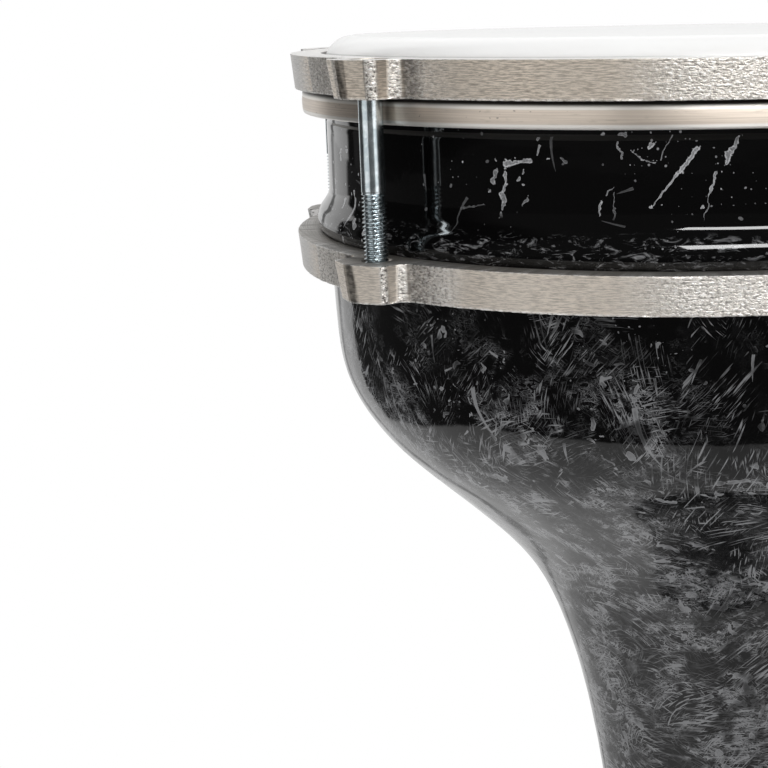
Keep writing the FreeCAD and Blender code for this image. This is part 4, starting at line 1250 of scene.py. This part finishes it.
def build_lights():
    def area(name, right, fwd, up, sx, sy, radiance, aim, diffuse=True, glossy=True, only=None):
        l = bpy.data.lights.new(name, "AREA")
        l.shape = "RECTANGLE"
        l.size, l.size_y = sx, sy
        l.energy = radiance * math.pi * sx * sy
        ob = bpy.data.objects.new(name, l)
        bpy.context.scene.collection.objects.link(ob)
        ob.location = (right * cs - fwd * sn, right * sn + fwd * cs, up)
        ob.rotation_euler = (Vector(aim) - ob.location).to_track_quat("-Z", "Y").to_euler()
        ob.visible_diffuse, ob.visible_glossy = diffuse, glossy
        if only is not None:
            ob.light_linking.receiver_collection = only
        return ob
    mid = (0.0, 0.0, 0.38)
    # the even light of the room comes from one large soft source overhead, a little to the front
    area("softbox_top", 0.20, -0.25, 1.75, 1.6, 1.6, 1.7, (0.0, 0.0, 0.4), glossy=False)
    # the narrow bright lamp in front is what the lacquer mirrors
    area("strip_front", 0.31, -1.20, 1.32, 1.11, 0.42, 15.0, mid, diffuse=False)
    # reflector cards for the bare metal
    cards = bpy.data.collections.new("metal_pieces")
    for name in METAL:
        cards.objects.link(bpy.data.objects[name])
    area("card_left", -0.98, -0.92, 0.92, 1.15, 2.0, 1.00, (0.0, 0.0, 0.8), diffuse=False, only=cards)
    skin = bpy.data.collections.new("head_film_only")
    skin.objects.link(bpy.data.objects["drum_head_film"])
    area("film_fill", 0.0, -1.50, 0.80, 1.5, 0.8, 2.8, mid, glossy=False, only=skin)
    area("card_right", 0.80, -0.95, 0.92, 0.70, 2.0, 1.25, (0.0, 0.0, 0.8), diffuse=False, only=cards)


METAL = ["tension_ring_cast", "counter_ring_cast", "flesh_hoop_rolled"] + ["tension_bolt_%d_screw" % (k + 1) for k in range(LUGS)]


def build_camera():
    cam = bpy.data.cameras.new("camera")
    ob = bpy.data.objects.new("camera", cam)
    bpy.context.scene.collection.objects.link(ob)
    pitch, roll = 0.118961, -0.0162545
    f = np.array([0, math.cos(pitch), -math.sin(pitch)])
    r = np.array([1.0, 0, 0])
    u = np.cross(r, f)
    r2 = r * math.cos(roll) + u * math.sin(roll)
    u2 = -r * math.sin(roll) + u * math.cos(roll)
    Z = np.array([[cs, -sn, 0], [sn, cs, 0], [0, 0, 1]])
    r2, u2, b2 = Z @ r2, Z @ u2, Z @ (-f)
    loc = Z @ np.array([0, -0.4967, 0.43813])
    ob.matrix_world = Matrix([[r2[0], u2[0], b2[0], loc[0]], [r2[1], u2[1], b2[1], loc[1]], [r2[2], u2[2], b2[2], loc[2]], [0, 0, 0, 1]])
    cam.sensor_width = 36.0
    cam.lens = 1667.97 / 768.0 * 36.0
    cam.clip_start, cam.clip_end = 0.02, 50.0
    # the picture is an off-centre part of the view; from any other place the view is centred
    for prop, amount in (("shift_x", (384 - 714.6636) / 768.0), ("shift_y", (202.1277 - 384) / 768.0)):
        dr = cam.driver_add(prop).driver
        dr.type = "SCRIPTED"
        for name, path in (("x", "location.x"), ("y", "location.y"), ("z", "location.z")):
            v = dr.variables.new()
            v.name = name
            v.type = "SINGLE_PROP"
            v.targets[0].id = ob
            v.targets[0].data_path = path
        dr.expression = "%.6f * (x * x + y * y < 0.3) * (z < 0.6)" % amount
    bpy.context.scene.camera = ob


build_world()
build_floor()
build_lights()
build_camera()
sc = bpy.context.scene
sc.view_settings.view_transform = "Standard"
sc.view_settings.look = "None"
sc.view_settings.exposure = 0.0
sc.view_settings.gamma = 1.0

bpy.context.view_layer.update()
